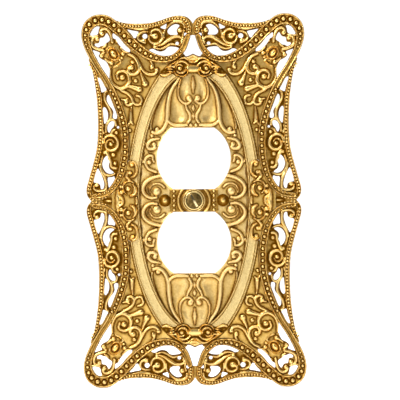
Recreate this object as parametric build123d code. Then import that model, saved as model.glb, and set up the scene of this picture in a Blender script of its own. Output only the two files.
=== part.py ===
from build123d import *
import math
import os

# Ornate duplex receptacle wall plate cover: a pierced, domed casting with a cup ring and one screw.
#
# The plate stands upright. +Z is up, +X is to the right and the decorated front faces -Y. The wall is
# the plane y = 0, and the origin is where the mounting screw's axis crosses it. Sizes are millimetres.
# The casting's outline repeats in four quarters, so each member is drawn once, in the quarter where x
# and z are positive, and mirrored. Members of the casting meet face to face and never overlap.

# Openings for a duplex receptacle, and their spacing, as every such device has them.
OUTLET_RADIUS = 17.1
OUTLET_HALF_HEIGHT = 14.2
OUTLET_SPACING = 38.9

# The casting: a cushion-shaped shell, highest at the screw and lowest at its rim.
HALF_WIDTH = 51.6
HALF_HEIGHT = 86.4
CENTRE_HEIGHT = 6.2
RIM_HEIGHT = 2.9
SHELL_THICKNESS = 1.9
BLANK_DEPTH = 12.0

# How far each member's front stands above the cushion.
RAIL_RISE = 0.6
STRAP_RISE = 0.5
CARTOUCHE_RISE = 0.7
CROWN_RISE = 1.7
SIDE_ORNAMENT_RISE = 1.5

# Two ellipses bound the plain straps: half width, half height.
STRAP_OUTER = (30.8, 67.5)
STRAP_INNER = (25.3, 59.1)

# The bridge between the two openings, with its screw boss and a round knob at each end.
BRIDGE_HALF_LENGTH = 11.3
BRIDGE_FRONT = 6.4
BRIDGE_BACK = 4.0
BOSS_RADIUS = 7.7
BOSS_HEIGHT = 7.2
BOSS_RIM_WIDTH = 0.8
BOSS_RIM_HEIGHT = 0.5
KNOB_X = 13.4
KNOB_RADIUS = 1.9
KNOB_PAD_RADIUS = 2.9

# Screw, 6-32 by 5/8 in with a slotted oval head, and the cup ring under its head.
THREAD_RADIUS = 1.753
NECK_RADIUS = 1.4
THREAD_TOP = -3.4
SCREW_TIP = 7.8
TIP_CHAMFER = 0.45
HEAD_RADIUS = 3.55
HEAD_HALF_ANGLE = 41.0
HEAD_EDGE = 0.15
HEAD_CROWN = 1.15
SLOT_WIDTH = 0.95
SLOT_DEPTH = 0.9
SLOT_ANGLE = 62.0
CUP_OUTER_RADIUS = 5.15
CUP_LIP_RADIUS = 4.25
CUP_LIP_HEIGHT = 0.9
CUP_EDGE_HEIGHT = 0.35
CUP_SPIGOT_RADIUS = 2.75
CUP_BORE_RADIUS = 1.95
SEAT_CLEARANCE = 0.05
SPIGOT_CLEARANCE = 0.15
SCREW_HOLE_RADIUS = 1.95

# Beaded rail of one quarter: centre line x, z and width, from the top loop round the corner to mid side.
RAIL = [
    (2.4, 76.0, 2.6), (4.8, 70.2, 2.9), (9.2, 66.2, 3.0), (14.5, 65.5, 3.4), (19.8, 67.0, 4.1),
    (24.8, 70.2, 4.5), (29.7, 74.5, 4.7), (34.3, 79.2, 4.9), (39.3, 83.1, 5.1), (42.6, 83.9, 5.2),
    (45.8, 83.3, 5.1), (48.5, 80.9, 4.8), (49.7, 76.9, 4.0), (49.0, 72.3, 3.4), (46.9, 67.2, 3.0),
    (43.7, 61.5, 2.8), (39.6, 55.2, 2.8), (36.6, 49.0, 3.2), (34.1, 42.4, 3.5), (32.3, 35.3, 3.7),
    (31.6, 27.5, 3.7), (32.1, 19.5, 3.7), (33.8, 12.2, 3.4), (37.5, 5.9, 3.0), (41.6, 3.0, 2.7),
    (46.3, 2.2, 2.5),
]

# Free outer edges of the two filigree cells, from the notch on each axis to the rail.
TOP_EDGE = [
    (0, 82.0), (1.1, 83.7), (3.2, 85.2), (7.0, 85.7), (11.0, 84.9), (15.0, 83.5), (19.5, 82.4),
    (26.0, 82.1), (32.0, 82.5), (36.5, 84.0),
]
SIDE_EDGE = [
    (47.5, 0), (49.3, 2.4), (49.7, 5.5), (48.6, 10.0), (46.9, 16.0), (45.2, 22.5), (44.4, 29.0),
    (44.2, 37.0), (44.5, 45.0), (45.3, 53.0), (46.6, 60.0), (48.4, 65.6),
]

# Piercings of the top cell, as closed smooth outlines; those of three points are triangles.
TOP_PIERCINGS = [
    [(30.4, 79.3), (25.2, 78.4), (26.8, 75.3)],
    [(15.1, 80.3), (12.1, 82.0), (12.6, 79.5)],
    [(11.6, 79.0), (10.1, 80.8), (8.0, 81.8), (6.1, 81.2), (6.8, 80.1), (7.5, 78.7), (7.0, 77.0),
     (8.6, 76.8), (10.6, 76.9), (11.6, 77.8)],
    [(20.3, 69.6), (18.6, 70.4), (16.8, 69.5), (14.9, 69.1), (13.0, 69.7), (11.4, 71.2),
     (9.0, 71.3), (6.6, 70.6), (7.2, 68.6), (10.0, 66.9), (14.5, 66.4), (18.0, 67.6)],
]
TOP_ROUND_PIERCINGS = [(22.2, 76.2, 1.15), (3.4, 77.0, 0.75), (7.3, 72.8, 0.8)]

# Piercings of the side cell.
SIDE_PIERCINGS = [
    [(44.2, 56.9), (43.3, 57.1), (42.1, 55.4), (41.0, 53.2), (40.1, 51.5), (41.2, 50.7),
     (42.4, 50.4), (42.9, 52.4), (43.6, 54.8)],
    [(39.3, 49.2), (38.4, 47.8), (37.3, 45.0), (36.2, 42.2), (35.4, 39.6), (35.6, 38.1),
     (37.1, 38.2), (37.3, 39.6), (37.0, 41.0), (37.5, 42.4), (39.0, 44.4), (40.0, 46.4),
     (40.0, 48.2)],
    [(41.8, 43.1), (41.0, 43.5), (40.0, 42.2), (39.5, 40.2), (39.7, 37.8), (40.7, 36.0),
     (41.3, 36.0), (41.6, 38.6), (41.8, 41.2)],
    [(37.7, 37.0), (36.6, 36.6), (36.8, 34.7), (38.0, 33.3), (38.9, 31.6), (39.7, 32.5),
     (39.8, 34.4), (39.0, 36.2)],
    [(40.0, 21.1), (39.6, 19.4), (38.9, 18.2), (39.3, 16.6), (38.9, 14.9), (37.0, 13.2),
     (38.6, 12.6), (40.4, 13.2), (41.8, 15.0), (42.3, 17.4), (41.5, 19.8)],
    [(44.4, 15.1), (43.3, 13.3), (42.2, 10.8), (41.5, 8.0), (41.9, 5.8), (43.0, 5.6), (43.5, 7.6),
     (45.0, 8.5), (46.3, 8.7), (46.0, 11.0), (45.2, 13.6)],
    [(39.8, 10.8), (38.2, 11.0), (36.7, 11.4), (36.9, 9.6), (38.0, 7.3), (39.3, 6.3), (39.7, 8.4)],
]
SIDE_ROUND_PIERCINGS = [(34.9, 34.1, 0.6)]

# Piercings round the corner cartouche.
CORNER_PIERCINGS = [
    [(47.4, 76.8), (46.6, 78.9), (45.2, 80.5), (43.2, 80.9), (43.6, 79.2), (44.0, 77.4),
     (45.6, 76.7)],
    [(43.0, 75.4), (41.4, 75.8), (40.6, 76.8), (39.9, 77.8), (38.8, 76.2), (38.5, 74.4),
     (40.0, 73.2), (41.2, 72.0), (42.6, 71.8), (43.8, 71.2), (45.4, 72.1), (45.2, 73.0),
     (43.5, 73.3)],
    [(37.0, 77.7), (35.2, 76.4), (33.0, 74.2), (31.2, 72.0), (29.3, 70.2), (29.2, 69.0),
     (31.0, 69.3), (33.0, 71.0), (34.5, 72.8), (35.7, 74.8), (37.0, 75.6)],
    [(46.5, 69.8), (44.8, 69.5), (43.0, 68.6), (43.7, 67.2), (42.4, 65.8), (40.4, 64.7),
     (39.1, 62.5), (38.7, 60.0), (39.0, 57.8), (40.6, 59.3), (42.8, 63.0), (45.0, 67.0)],
]

# Edge that the corner panel shares with the cartouche, and the panel's free edge beside it.
CARTOUCHE_EDGE = [(27.2, 70.0), (29.2, 68.8), (31.8, 66.0), (34.0, 63.4), (36.5, 61.7), (38.6, 61.6)]
PANEL_FREE_EDGE = [(38.6, 61.6), (38.6, 59.5), (38.8, 57.0), (39.2, 55.6)]

CROWN_OUTLINE = [
    (0, 68.0), (2.4, 66.9), (4.6, 66.5), (8.0, 64.3), (11.5, 62.7), (13.4, 61.3), (12.9, 60.3),
    (15.4, 58.8), (15.1, 57.4), (13.0, 56.9), (11.0, 58.0), (9.2, 58.4), (8.0, 57.5), (5.6, 56.9),
    (3.2, 57.4), (1.8, 58.7), (0, 59.0),
]
SIDE_ORNAMENT_OUTLINE = [
    (25.6, 0), (25.9, 3.0), (25.6, 5.8), (26.4, 8.3), (27.4, 9.6), (26.1, 11.4), (25.7, 13.8),
    (26.0, 16.4), (27.0, 18.2), (28.7, 18.8), (30.2, 18.0), (31.0, 14.5), (31.9, 11.2),
    (33.9, 8.2), (35.4, 5.6), (36.3, 2.6), (37.1, 0),
]


def closed_face(points):
    """A triangle from three points, or a face with one closed smooth edge through more."""
    if len(points) == 3:
        return make_face(Polyline(*points, points[0]))
    return make_face(Spline(*points, periodic=True))


def rail_points(side):
    """Points on one edge of the beaded rail: side is 1 for its left hand and -1 for its right."""
    edge = []
    for i, (x, z, width) in enumerate(RAIL):
        before = RAIL[max(i - 1, 0)]
        after = RAIL[min(i + 1, len(RAIL) - 1)]
        dx, dz = after[0] - before[0], after[1] - before[1]
        half = side * width / 2 / math.hypot(dx, dz)
        edge.append((x - dz * half, z + dx * half))
    return edge


def rail_face():
    left, right = rail_points(1), rail_points(-1)
    return make_face(
        Spline(*left) + Line(left[-1], right[-1]) + Spline(*right) + Line(right[0], left[0])
    )


def rail_line(first, last):
    """The rail's centre points from index first to index last, in either direction."""
    step = 1 if last >= first else -1
    return [RAIL[i][:2] for i in range(first, last + step, step)]


def outlet_face(z):
    """One receptacle opening: a circle with its top and bottom cut flat."""
    band = Rectangle(3 * OUTLET_RADIUS, 2 * OUTLET_HALF_HEIGHT)
    return Pos(0, z) * (Circle(OUTLET_RADIUS) & band)


def bridge_face():
    length = 2 * BRIDGE_HALF_LENGTH
    bar = Rectangle(length, OUTLET_SPACING - 2 * OUTLET_HALF_HEIGHT)
    for x in (-KNOB_X, KNOB_X):
        bar += Pos(x, 0) * Circle(KNOB_PAD_RADIUS)
    return bar


def quarter_face(spline_points, straight_points):
    """A face bounded by a smooth edge through spline_points, then straight runs back to its start."""
    corners = [spline_points[-1], *straight_points, spline_points[0]]
    return make_face(Spline(*spline_points) + Polyline(*corners))


def mirrored_pair_face(points):
    """A face symmetric about the vertical axis, from its right-hand outline listed top to bottom."""
    half = make_face(Spline(*points) + Line(points[-1], points[0]))
    return half + mirror(half, about=Plane.YZ)


def cushion(height):
    """The space behind a cushion-shaped front that is height above the wall at its middle."""
    drop = CENTRE_HEIGHT - RIM_HEIGHT
    radius_across = HALF_WIDTH**2 / (2 * drop)
    radius_along = HALF_HEIGHT**2 / (2 * drop)
    across = Pos(0, radius_across - height, 0) * Cylinder(radius_across, 3 * HALF_HEIGHT)
    along = Pos(0, radius_along - height, 0) * Rot(0, 90, 0) * Cylinder(radius_along, 3 * HALF_WIDTH)
    return across & along


def prism(face):
    """The face's outline, stood upright and extruded from the wall towards the front."""
    return extrude(Plane.XZ * face, BLANK_DEPTH)


def member(face, rise, hollow=True):
    """A casting member: the outline cut to the cushion front, and to the hollow back if it has one."""
    solid = prism(face) & cushion(CENTRE_HEIGHT + rise)
    if hollow:
        solid -= cushion(CENTRE_HEIGHT - SHELL_THICKNESS)
    return solid


def write(name, shape):
    export_step(Compound(shape.solids()), f"parts/{name}.step")


def write_quarters(name, shape):
    """Writes a quarter's member four times, mirrored into place."""
    right, left = shape, mirror(shape, about=Plane.YZ)
    write(f"{name}_top_right", right)
    write(f"{name}_top_left", left)
    write(f"{name}_bottom_right", mirror(right, about=Plane.XY))
    write(f"{name}_bottom_left", mirror(left, about=Plane.XY))


def largest(sketch):
    """The sketch's biggest face, without the slivers left between neighbours."""
    return Sketch() + max(sketch.faces(), key=lambda face: face.area)


def pierced(face, outlines, rounds=()):
    for outline in outlines:
        face -= closed_face(outline)
    for x, z, radius in rounds:
        face -= Pos(x, z) * Circle(radius)
    return largest(face)


def make_screw():
    """The screw's half profile in x = radius and y, spun about its own axis, with the slot cut."""
    seat_y = -(BOSS_HEIGHT + CUP_LIP_HEIGHT) + SEAT_CLEARANCE
    cone_drop = (HEAD_RADIUS - NECK_RADIUS) / math.tan(math.radians(HEAD_HALF_ANGLE))
    edge_y = seat_y - HEAD_EDGE
    top_y = edge_y - HEAD_CROWN
    profile = Polyline(
        (0, top_y), (0, SCREW_TIP), (THREAD_RADIUS - TIP_CHAMFER, SCREW_TIP),
        (THREAD_RADIUS, SCREW_TIP - TIP_CHAMFER), (THREAD_RADIUS, THREAD_TOP),
        (NECK_RADIUS, THREAD_TOP - (THREAD_RADIUS - NECK_RADIUS)),
        (NECK_RADIUS, seat_y + cone_drop), (HEAD_RADIUS, seat_y), (HEAD_RADIUS, edge_y),
    )
    dome_radius = (HEAD_RADIUS**2 + HEAD_CROWN**2) / (2 * HEAD_CROWN)
    mid_r = HEAD_RADIUS / 2
    mid_y = top_y + dome_radius - math.sqrt(dome_radius**2 - mid_r**2)
    dome = ThreePointArc((HEAD_RADIUS, edge_y), (mid_r, mid_y), (0, top_y))
    blank = revolve(make_face(profile + dome), axis=Axis.Y)
    slot = Box(3 * HEAD_RADIUS, 2 * SLOT_DEPTH, SLOT_WIDTH)
    return blank - Pos(0, top_y, 0) * Rot(0, SLOT_ANGLE, 0) * slot


def make_cup():
    """The cup ring: a flange on the boss, a rolled lip round the screw head and a conical seat."""
    base_y = -BOSS_HEIGHT
    lip_y = base_y - CUP_LIP_HEIGHT
    seat_r = HEAD_RADIUS + 2 * SEAT_CLEARANCE
    cone_drop = (seat_r - CUP_BORE_RADIUS) / math.tan(math.radians(HEAD_HALF_ANGLE))
    corners = Polyline(
        (seat_r, lip_y), (CUP_BORE_RADIUS, lip_y + cone_drop), (CUP_SPIGOT_RADIUS, lip_y + cone_drop),
        (CUP_SPIGOT_RADIUS, base_y), (CUP_OUTER_RADIUS, base_y),
        (CUP_OUTER_RADIUS, base_y - CUP_EDGE_HEIGHT), (CUP_LIP_RADIUS, lip_y), (seat_r, lip_y),
    )
    return revolve(make_face(corners), axis=Axis.Y)


def slab(face, front_height, back_height):
    """The face's outline stood upright, between two heights above the wall."""
    return extrude(Plane.XZ.offset(back_height) * face, front_height - back_height)


def make_bridge():
    """The bar between the openings with its knobs, screw boss, counterbore for the cup and hole."""
    strip = Rectangle(4 * BOSS_RADIUS, OUTLET_SPACING - 2 * OUTLET_HALF_HEIGHT)
    hole = Circle(SCREW_HOLE_RADIUS)
    counterbore = Circle(CUP_SPIGOT_RADIUS + SPIGOT_CLEARANCE)
    cup_depth = (HEAD_RADIUS - CUP_BORE_RADIUS) / math.tan(math.radians(HEAD_HALF_ANGLE))
    bore_bottom = BOSS_HEIGHT - (cup_depth - CUP_LIP_HEIGHT) - 2 * SPIGOT_CLEARANCE
    boss = Circle(BOSS_RADIUS) & strip
    bar = slab(bridge_face() - hole, bore_bottom, BRIDGE_BACK)
    bar += slab(bridge_face() - counterbore, BRIDGE_FRONT, bore_bottom)
    bar += slab(boss - counterbore, BOSS_HEIGHT, bore_bottom)
    bar += slab(boss - Circle(BOSS_RADIUS - BOSS_RIM_WIDTH), BOSS_HEIGHT + BOSS_RIM_HEIGHT, bore_bottom)
    for x in (-KNOB_X, KNOB_X):
        bar += Pos(x, -BRIDGE_FRONT, 0) * Sphere(KNOB_RADIUS)
    return bar


os.makedirs("parts", exist_ok=True)

rail = rail_face()
outer_ellipse, inner_ellipse = Ellipse(*STRAP_OUTER), Ellipse(*STRAP_INNER)
crown = mirrored_pair_face(CROWN_OUTLINE)
side_half = make_face(
    Spline(*SIDE_ORNAMENT_OUTLINE) + Line(SIDE_ORNAMENT_OUTLINE[-1], SIDE_ORNAMENT_OUTLINE[0])
)
side_ornament = (side_half - rail) + mirror(side_half - rail, about=Plane.XZ)

half_plane = Pos(HALF_WIDTH / 2, 0) * Rectangle(HALF_WIDTH, 4 * HALF_HEIGHT)
crowns = crown + mirror(crown, about=Plane.XZ)
strap = (outer_ellipse - inner_ellipse) & half_plane
strap = largest(strap - (crowns + side_ornament + rail + mirror(rail, about=Plane.XZ)))

write_quarters("beaded_rail", member(rail, RAIL_RISE, hollow=False))

top_cell = quarter_face(TOP_EDGE, [*rail_line(7, 0), (0, 77.0)]) - rail
write_quarters("cresting", member(pierced(top_cell, TOP_PIERCINGS, TOP_ROUND_PIERCINGS), 0))

side_cell = quarter_face(SIDE_EDGE, [*rail_line(14, 23), (36.3, 3.6), (36.3, 0)])
side_cell -= rail + side_ornament
write_quarters("side_filigree", member(pierced(side_cell, SIDE_PIERCINGS, SIDE_ROUND_PIERCINGS), 0))

corner_cell = make_face(
    Polyline(*rail_line(5, 16), (39.6, 58.5), (39.4, 61.6), *CARTOUCHE_EDGE[::-1], RAIL[5][:2])
)
corner_cell = pierced(corner_cell - rail, CORNER_PIERCINGS)
write_quarters("corner_cartouche", member(corner_cell, CARTOUCHE_RISE))

corner_panel = make_face(
    Polyline(
        *CARTOUCHE_EDGE, *PANEL_FREE_EDGE[1:], *rail_line(16, 22), (30.0, 12.0), (24.0, 36.0),
        (12.0, 58.0), (2.0, 65.0), (3.6, 67.2), (5.2, 69.0), *rail_line(2, 5), CARTOUCHE_EDGE[0],
    )
)
corner_panel = largest(corner_panel - (rail + strap + inner_ellipse + crown + side_ornament))
write_quarters("corner_panel", member(corner_panel, 0))

right_strap = member(strap, STRAP_RISE)
write("strap_right", right_strap)
write("strap_left", mirror(right_strap, about=Plane.YZ))

top_crown = member(crown, CROWN_RISE)
write("crown_top", top_crown)
write("crown_bottom", mirror(top_crown, about=Plane.XY))

right_ornament = member(side_ornament, SIDE_ORNAMENT_RISE)
write("side_ornament_right", right_ornament)
write("side_ornament_left", mirror(right_ornament, about=Plane.YZ))

oval = inner_ellipse - crowns - side_ornament - mirror(side_ornament, about=Plane.YZ)
for z in (-OUTLET_SPACING / 2, OUTLET_SPACING / 2):
    oval -= outlet_face(z)
write("oval_panel", member(oval - bridge_face(), 0))
write("screw_bridge", make_bridge())

write("cup_ring", make_cup())
write("mounting_screw", make_screw())
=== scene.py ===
"""Looks for the ornate duplex receptacle wall plate cover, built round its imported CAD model.

The decorated front faces -Y, +Z is up, and lengths in the tables are millimetres on the plate's front.
The casting repeats in four quarters: tables are drawn for the quarter where x and z are positive.
"""

import math

import bpy
import numpy as np
from mathutils import Euler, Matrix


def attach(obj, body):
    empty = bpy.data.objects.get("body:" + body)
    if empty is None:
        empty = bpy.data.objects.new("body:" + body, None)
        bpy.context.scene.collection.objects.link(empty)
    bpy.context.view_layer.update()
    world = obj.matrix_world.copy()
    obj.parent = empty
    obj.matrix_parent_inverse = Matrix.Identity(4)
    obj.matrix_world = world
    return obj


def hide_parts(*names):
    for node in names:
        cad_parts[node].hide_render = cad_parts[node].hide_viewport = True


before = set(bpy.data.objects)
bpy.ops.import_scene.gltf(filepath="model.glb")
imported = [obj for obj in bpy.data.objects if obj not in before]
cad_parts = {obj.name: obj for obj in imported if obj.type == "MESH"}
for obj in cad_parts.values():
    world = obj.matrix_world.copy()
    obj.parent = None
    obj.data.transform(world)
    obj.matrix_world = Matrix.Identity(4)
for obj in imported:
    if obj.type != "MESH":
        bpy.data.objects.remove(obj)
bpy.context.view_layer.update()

MM = 0.001

# --- Camera and studio -------------------------------------------------------------------------------
# A long lens looks straight at the front, a little right of the plate's middle and rolled by a hair.
# The room is a pale floor in a white world that is darker on the camera's side, so metal has contrast.
CAMERA_DISTANCE = 1.6
FRAME_WIDTH = 0.1856
AIM = (0.0028, 0.0, 0.0002)
ROLL_DEGREES = 0.4
SENSOR_WIDTH = 36

scene = bpy.context.scene
lens = bpy.data.cameras.new("camera")
lens.sensor_width = SENSOR_WIDTH
lens.lens = SENSOR_WIDTH * CAMERA_DISTANCE / FRAME_WIDTH
lens.clip_end = 20
camera = bpy.data.objects.new("camera", lens)
camera.location = (AIM[0], -CAMERA_DISTANCE, AIM[2])
camera.rotation_euler = Euler((math.pi / 2, math.radians(ROLL_DEGREES), 0))
scene.collection.objects.link(camera)
scene.camera = camera
scene.view_settings.view_transform = "Standard"
scene.view_settings.look = "None"

FRONT_GREY, BACK_WHITE = 0.09, 1.15
FADE_START, FADE_END = -0.25, 0.35


def set_inputs(node, values):
    """Sets a node's inputs by name, or links one whose value is another node's output."""
    for name, value in values.items():
        if isinstance(value, bpy.types.NodeSocket):
            node.id_data.links.new(value, node.inputs[name])
        else:
            node.inputs[name].default_value = value


def add_node(tree, kind, values=None, **settings):
    """A new node in a tree, with its inputs and its own settings."""
    node = tree.nodes.new(kind)
    for name, value in settings.items():
        setattr(node, name, value)
    set_inputs(node, values or {})
    return node


def make_world():
    """White behind the plate, grey in front of it, blended by the direction's Y."""
    world = bpy.data.worlds.new("studio")
    world.use_nodes = True
    scene.world = world
    tree = world.node_tree
    tree.nodes.clear()
    direction = add_node(tree, "ShaderNodeTexCoord")
    split = add_node(tree, "ShaderNodeSeparateXYZ", {0: direction.outputs["Generated"]})
    fade = add_node(tree, "ShaderNodeMapRange", {
        "Value": split.outputs["Y"], "From Min": FADE_START, "From Max": FADE_END,
        "To Min": FRONT_GREY, "To Max": BACK_WHITE,
    })
    background = add_node(tree, "ShaderNodeBackground", {
        "Color": (1, 1, 1, 1), "Strength": fade.outputs["Result"],
    })
    add_node(tree, "ShaderNodeOutputWorld", {0: background.outputs[0]})


def area_light(name, location, size, power, tint=(1.0, 1.0, 1.0)):
    """A square soft light aimed at the plate's middle."""
    data = bpy.data.lights.new(name, "AREA")
    data.size, data.energy, data.color = size, power, tint
    light = bpy.data.objects.new(name, data)
    light.location = location
    bearing = math.atan2(location[0], -location[1])
    rise = math.atan2(location[2], math.hypot(location[0], location[1]))
    light.rotation_euler = Euler((math.pi / 2 - rise, 0, bearing))
    scene.collection.objects.link(light)


make_world()
area_light("key", (-0.5, -0.5, 0.56), 0.3, 6.6, (1.0, 0.965, 0.92))
area_light("fill", (0.6, -0.75, -0.1), 0.5, 0.4, (1.0, 0.99, 0.97))
area_light("top_strip", (0.05, -0.15, 0.7), 0.35, 1.5)

FLOOR_REACH, FLOOR_Z = 4, -86.5 * MM
floor_sides = ((-1, -1), (1, -1), (1, 1), (-1, 1))
floor_corners = [(x * FLOOR_REACH, y * FLOOR_REACH, FLOOR_Z) for x, y in floor_sides]
floor_data = bpy.data.meshes.new("floor")
floor_data.from_pydata(floor_corners, [], [(0, 1, 2, 3)])
floor = bpy.data.objects.new("floor", floor_data)
scene.collection.objects.link(floor)
paper = bpy.data.materials.new("paper")
paper.use_nodes = True
set_inputs(paper.node_tree.nodes["Principled BSDF"], {
    "Base Color": (0.93, 0.93, 0.93, 1), "Roughness": 0.8, "Emission Color": (1, 1, 1, 1),
    "Emission Strength": 0.55,
})
floor_data.materials.append(paper)

# --- Beaded rails ------------------------------------------------------------------------------------
# Four raised ribbons, cast with the plate, run from the top loops round the corners to mid side.
# Each has a rim along both edges and a channel of round sockets that the beads sit in.
CELL = 0.3
QUARTER_WIDTH, QUARTER_HEIGHT = 53.4, 88.2
HALF_WIDTH, HALF_HEIGHT = 51.6, 86.4
CENTRE_HEIGHT, RIM_HEIGHT = 6.2, 2.9
BACK_WASH, THINNEST = 0.6, 0.4

# The rail's middle line: x, z and width.
RAIL = [
    (2.4, 76.0, 2.6), (4.8, 70.2, 2.9), (9.2, 66.2, 3.0), (14.5, 65.5, 3.4), (19.8, 67.0, 4.1),
    (24.8, 70.2, 4.5), (29.7, 74.5, 4.7), (34.3, 79.2, 4.9), (39.3, 83.1, 5.1), (42.6, 83.9, 5.2),
    (45.8, 83.3, 5.1), (48.5, 80.9, 4.8), (49.7, 76.9, 4.0), (49.0, 72.3, 3.4), (46.9, 67.2, 3.0),
    (43.7, 61.5, 2.8), (39.6, 55.2, 2.8), (36.6, 49.0, 3.2), (34.1, 42.4, 3.5), (32.3, 35.3, 3.7),
    (31.6, 27.5, 3.7), (32.1, 19.5, 3.7), (33.8, 12.2, 3.4), (37.5, 5.9, 3.0), (41.6, 3.0, 2.7),
    (46.3, 2.2, 2.5),
]
# Beads in sockets: x, z and radius.
RAIL_BEADS = [
    (5.6, 69.0, 0.4), (7.6, 67.3, 0.45), (10.0, 66.2, 0.5), (12.2, 65.8, 0.5), (14.5, 65.7, 0.55),
    (16.9, 66.1, 0.6), (19.4, 66.9, 0.65), (21.9, 68.2, 0.7), (24.4, 69.8, 0.7), (26.8, 71.8, 0.75),
    (29.3, 74.0, 0.75), (31.7, 76.4, 0.75), (34.1, 78.9, 0.8), (36.4, 81.3, 0.8), (38.9, 83.0, 0.85),
    (42.0, 83.9, 0.85), (45.2, 83.6, 0.85), (47.9, 81.8, 0.8), (49.3, 79.4, 0.7), (49.8, 76.9, 0.6),
    (49.8, 74.6, 0.5), (49.4, 72.6, 0.45), (48.7, 70.8, 0.4),
    (38.2, 51.2, 0.5), (37.0, 49.4, 0.5), (36.1, 47.5, 0.55), (35.3, 45.5, 0.55), (34.5, 43.4, 0.6),
    (33.7, 41.0, 0.6), (33.0, 38.6, 0.6), (32.4, 36.1, 0.6), (31.9, 33.5, 0.6), (31.6, 30.8, 0.6),
    (31.6, 28.0, 0.6), (31.6, 25.2, 0.6), (31.7, 22.5, 0.6), (32.0, 19.7, 0.6), (32.5, 16.9, 0.6),
    (33.1, 14.2, 0.55), (33.9, 11.7, 0.5), (35.0, 9.4, 0.45), (36.3, 7.4, 0.4), (37.8, 5.8, 0.35),
    (39.4, 4.6, 0.35), (41.2, 3.7, 0.35), (43.1, 3.1, 0.3), (45.0, 2.7, 0.3),
]


def smooth_line(points, step=0.5, closed=False):
    """Points on a Catmull-Rom curve through the given rows, about step apart in x and z."""
    rows = np.array(points, float)
    if closed:
        rows = np.vstack([rows[-1:], rows, rows[:2]])
    else:
        rows = np.vstack([2 * rows[0] - rows[1], rows, 2 * rows[-1] - rows[-2]])
    pieces = []
    for a, b, c, d in zip(rows, rows[1:], rows[2:], rows[3:]):
        count = max(2, int(np.hypot(*(c - b)[:2]) / step))
        t = np.linspace(0, 1, count, endpoint=False)[:, None]
        pieces.append(
            b + 0.5 * t * (c - a + t * (2 * a - 5 * b + 4 * c - d + t * (3 * (b - c) + d - a)))
        )
    if not closed:
        pieces.append(rows[-2:-1])
    return np.vstack(pieces)


def stretches(line):
    """The lengths of a polyline's runs, and how far along it each of its points is."""
    steps = np.hypot(*np.diff(line[:, :2], axis=0).T)
    return steps, np.concatenate([[0], np.cumsum(steps)])


def nearest_on_line(points, line):
    """Each point's distance to a polyline, and how far along it the nearest place is, from 0 to 1."""
    best = np.full(len(points), np.inf)
    along = np.zeros(len(points))
    steps, reach = stretches(line)
    for i, length in enumerate(steps):
        if length < 1e-9:
            continue
        start, direction = line[i, :2], (line[i + 1, :2] - line[i, :2]) / length
        offset = points - start
        place = np.clip(offset @ direction, 0, length)
        gap = np.hypot(*(offset - place[:, None] * direction).T)
        closer = gap < best
        best[closer] = gap[closer]
        along[closer] = (reach[i] + place[closer]) / reach[-1]
    return best, along


def inside_polygon(points, outline):
    """Signed distance to a closed polygon, positive inside."""
    ring = np.vstack([outline, outline[:1]])
    gap, _ = nearest_on_line(points, ring)
    within = np.zeros(len(points), bool)
    for (ax, az), (bx, bz) in zip(ring[:-1], ring[1:]):
        if az == bz:
            continue
        crosses = (az > points[:, 1]) != (bz > points[:, 1])
        within ^= crosses & (points[:, 0] < ax + (points[:, 1] - az) * (bx - ax) / (bz - az))
    return np.where(within, gap, -gap)


def hole_field(points, outline, margin=2.0):
    """inside_polygon for a small outline, worked out only near it."""
    field = np.full(len(points), -margin)
    low, high = outline.min(axis=0) - margin, outline.max(axis=0) + margin
    near = np.all((points > low) & (points < high), axis=1)
    field[near] = np.maximum(inside_polygon(points[near], outline), -margin)
    return field


def cushion(points):
    """Height above the wall of the plate's cushion-shaped front, before any ornament."""
    fall = np.maximum((points[:, 0] / HALF_WIDTH) ** 2, (points[:, 1] / HALF_HEIGHT) ** 2)
    return CENTRE_HEIGHT - (CENTRE_HEIGHT - RIM_HEIGHT) * fall


columns = np.arange(0, QUARTER_WIDTH, CELL)
rows = np.arange(0, QUARTER_HEIGHT, CELL)
grid = np.stack(np.meshgrid(columns, rows), axis=-1).reshape(-1, 2)

rail_line = smooth_line(RAIL)
rail_gap, rail_along = nearest_on_line(grid, rail_line)


def rail_half_width(along):
    _, reach = stretches(rail_line)
    return np.interp(along, reach / reach[-1], rail_line[:, 2] / 2)


rail_field = rail_half_width(rail_along) - rail_gap
SNAP_REACH, LEAST_SLOPE = 0.3, 0.3


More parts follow.
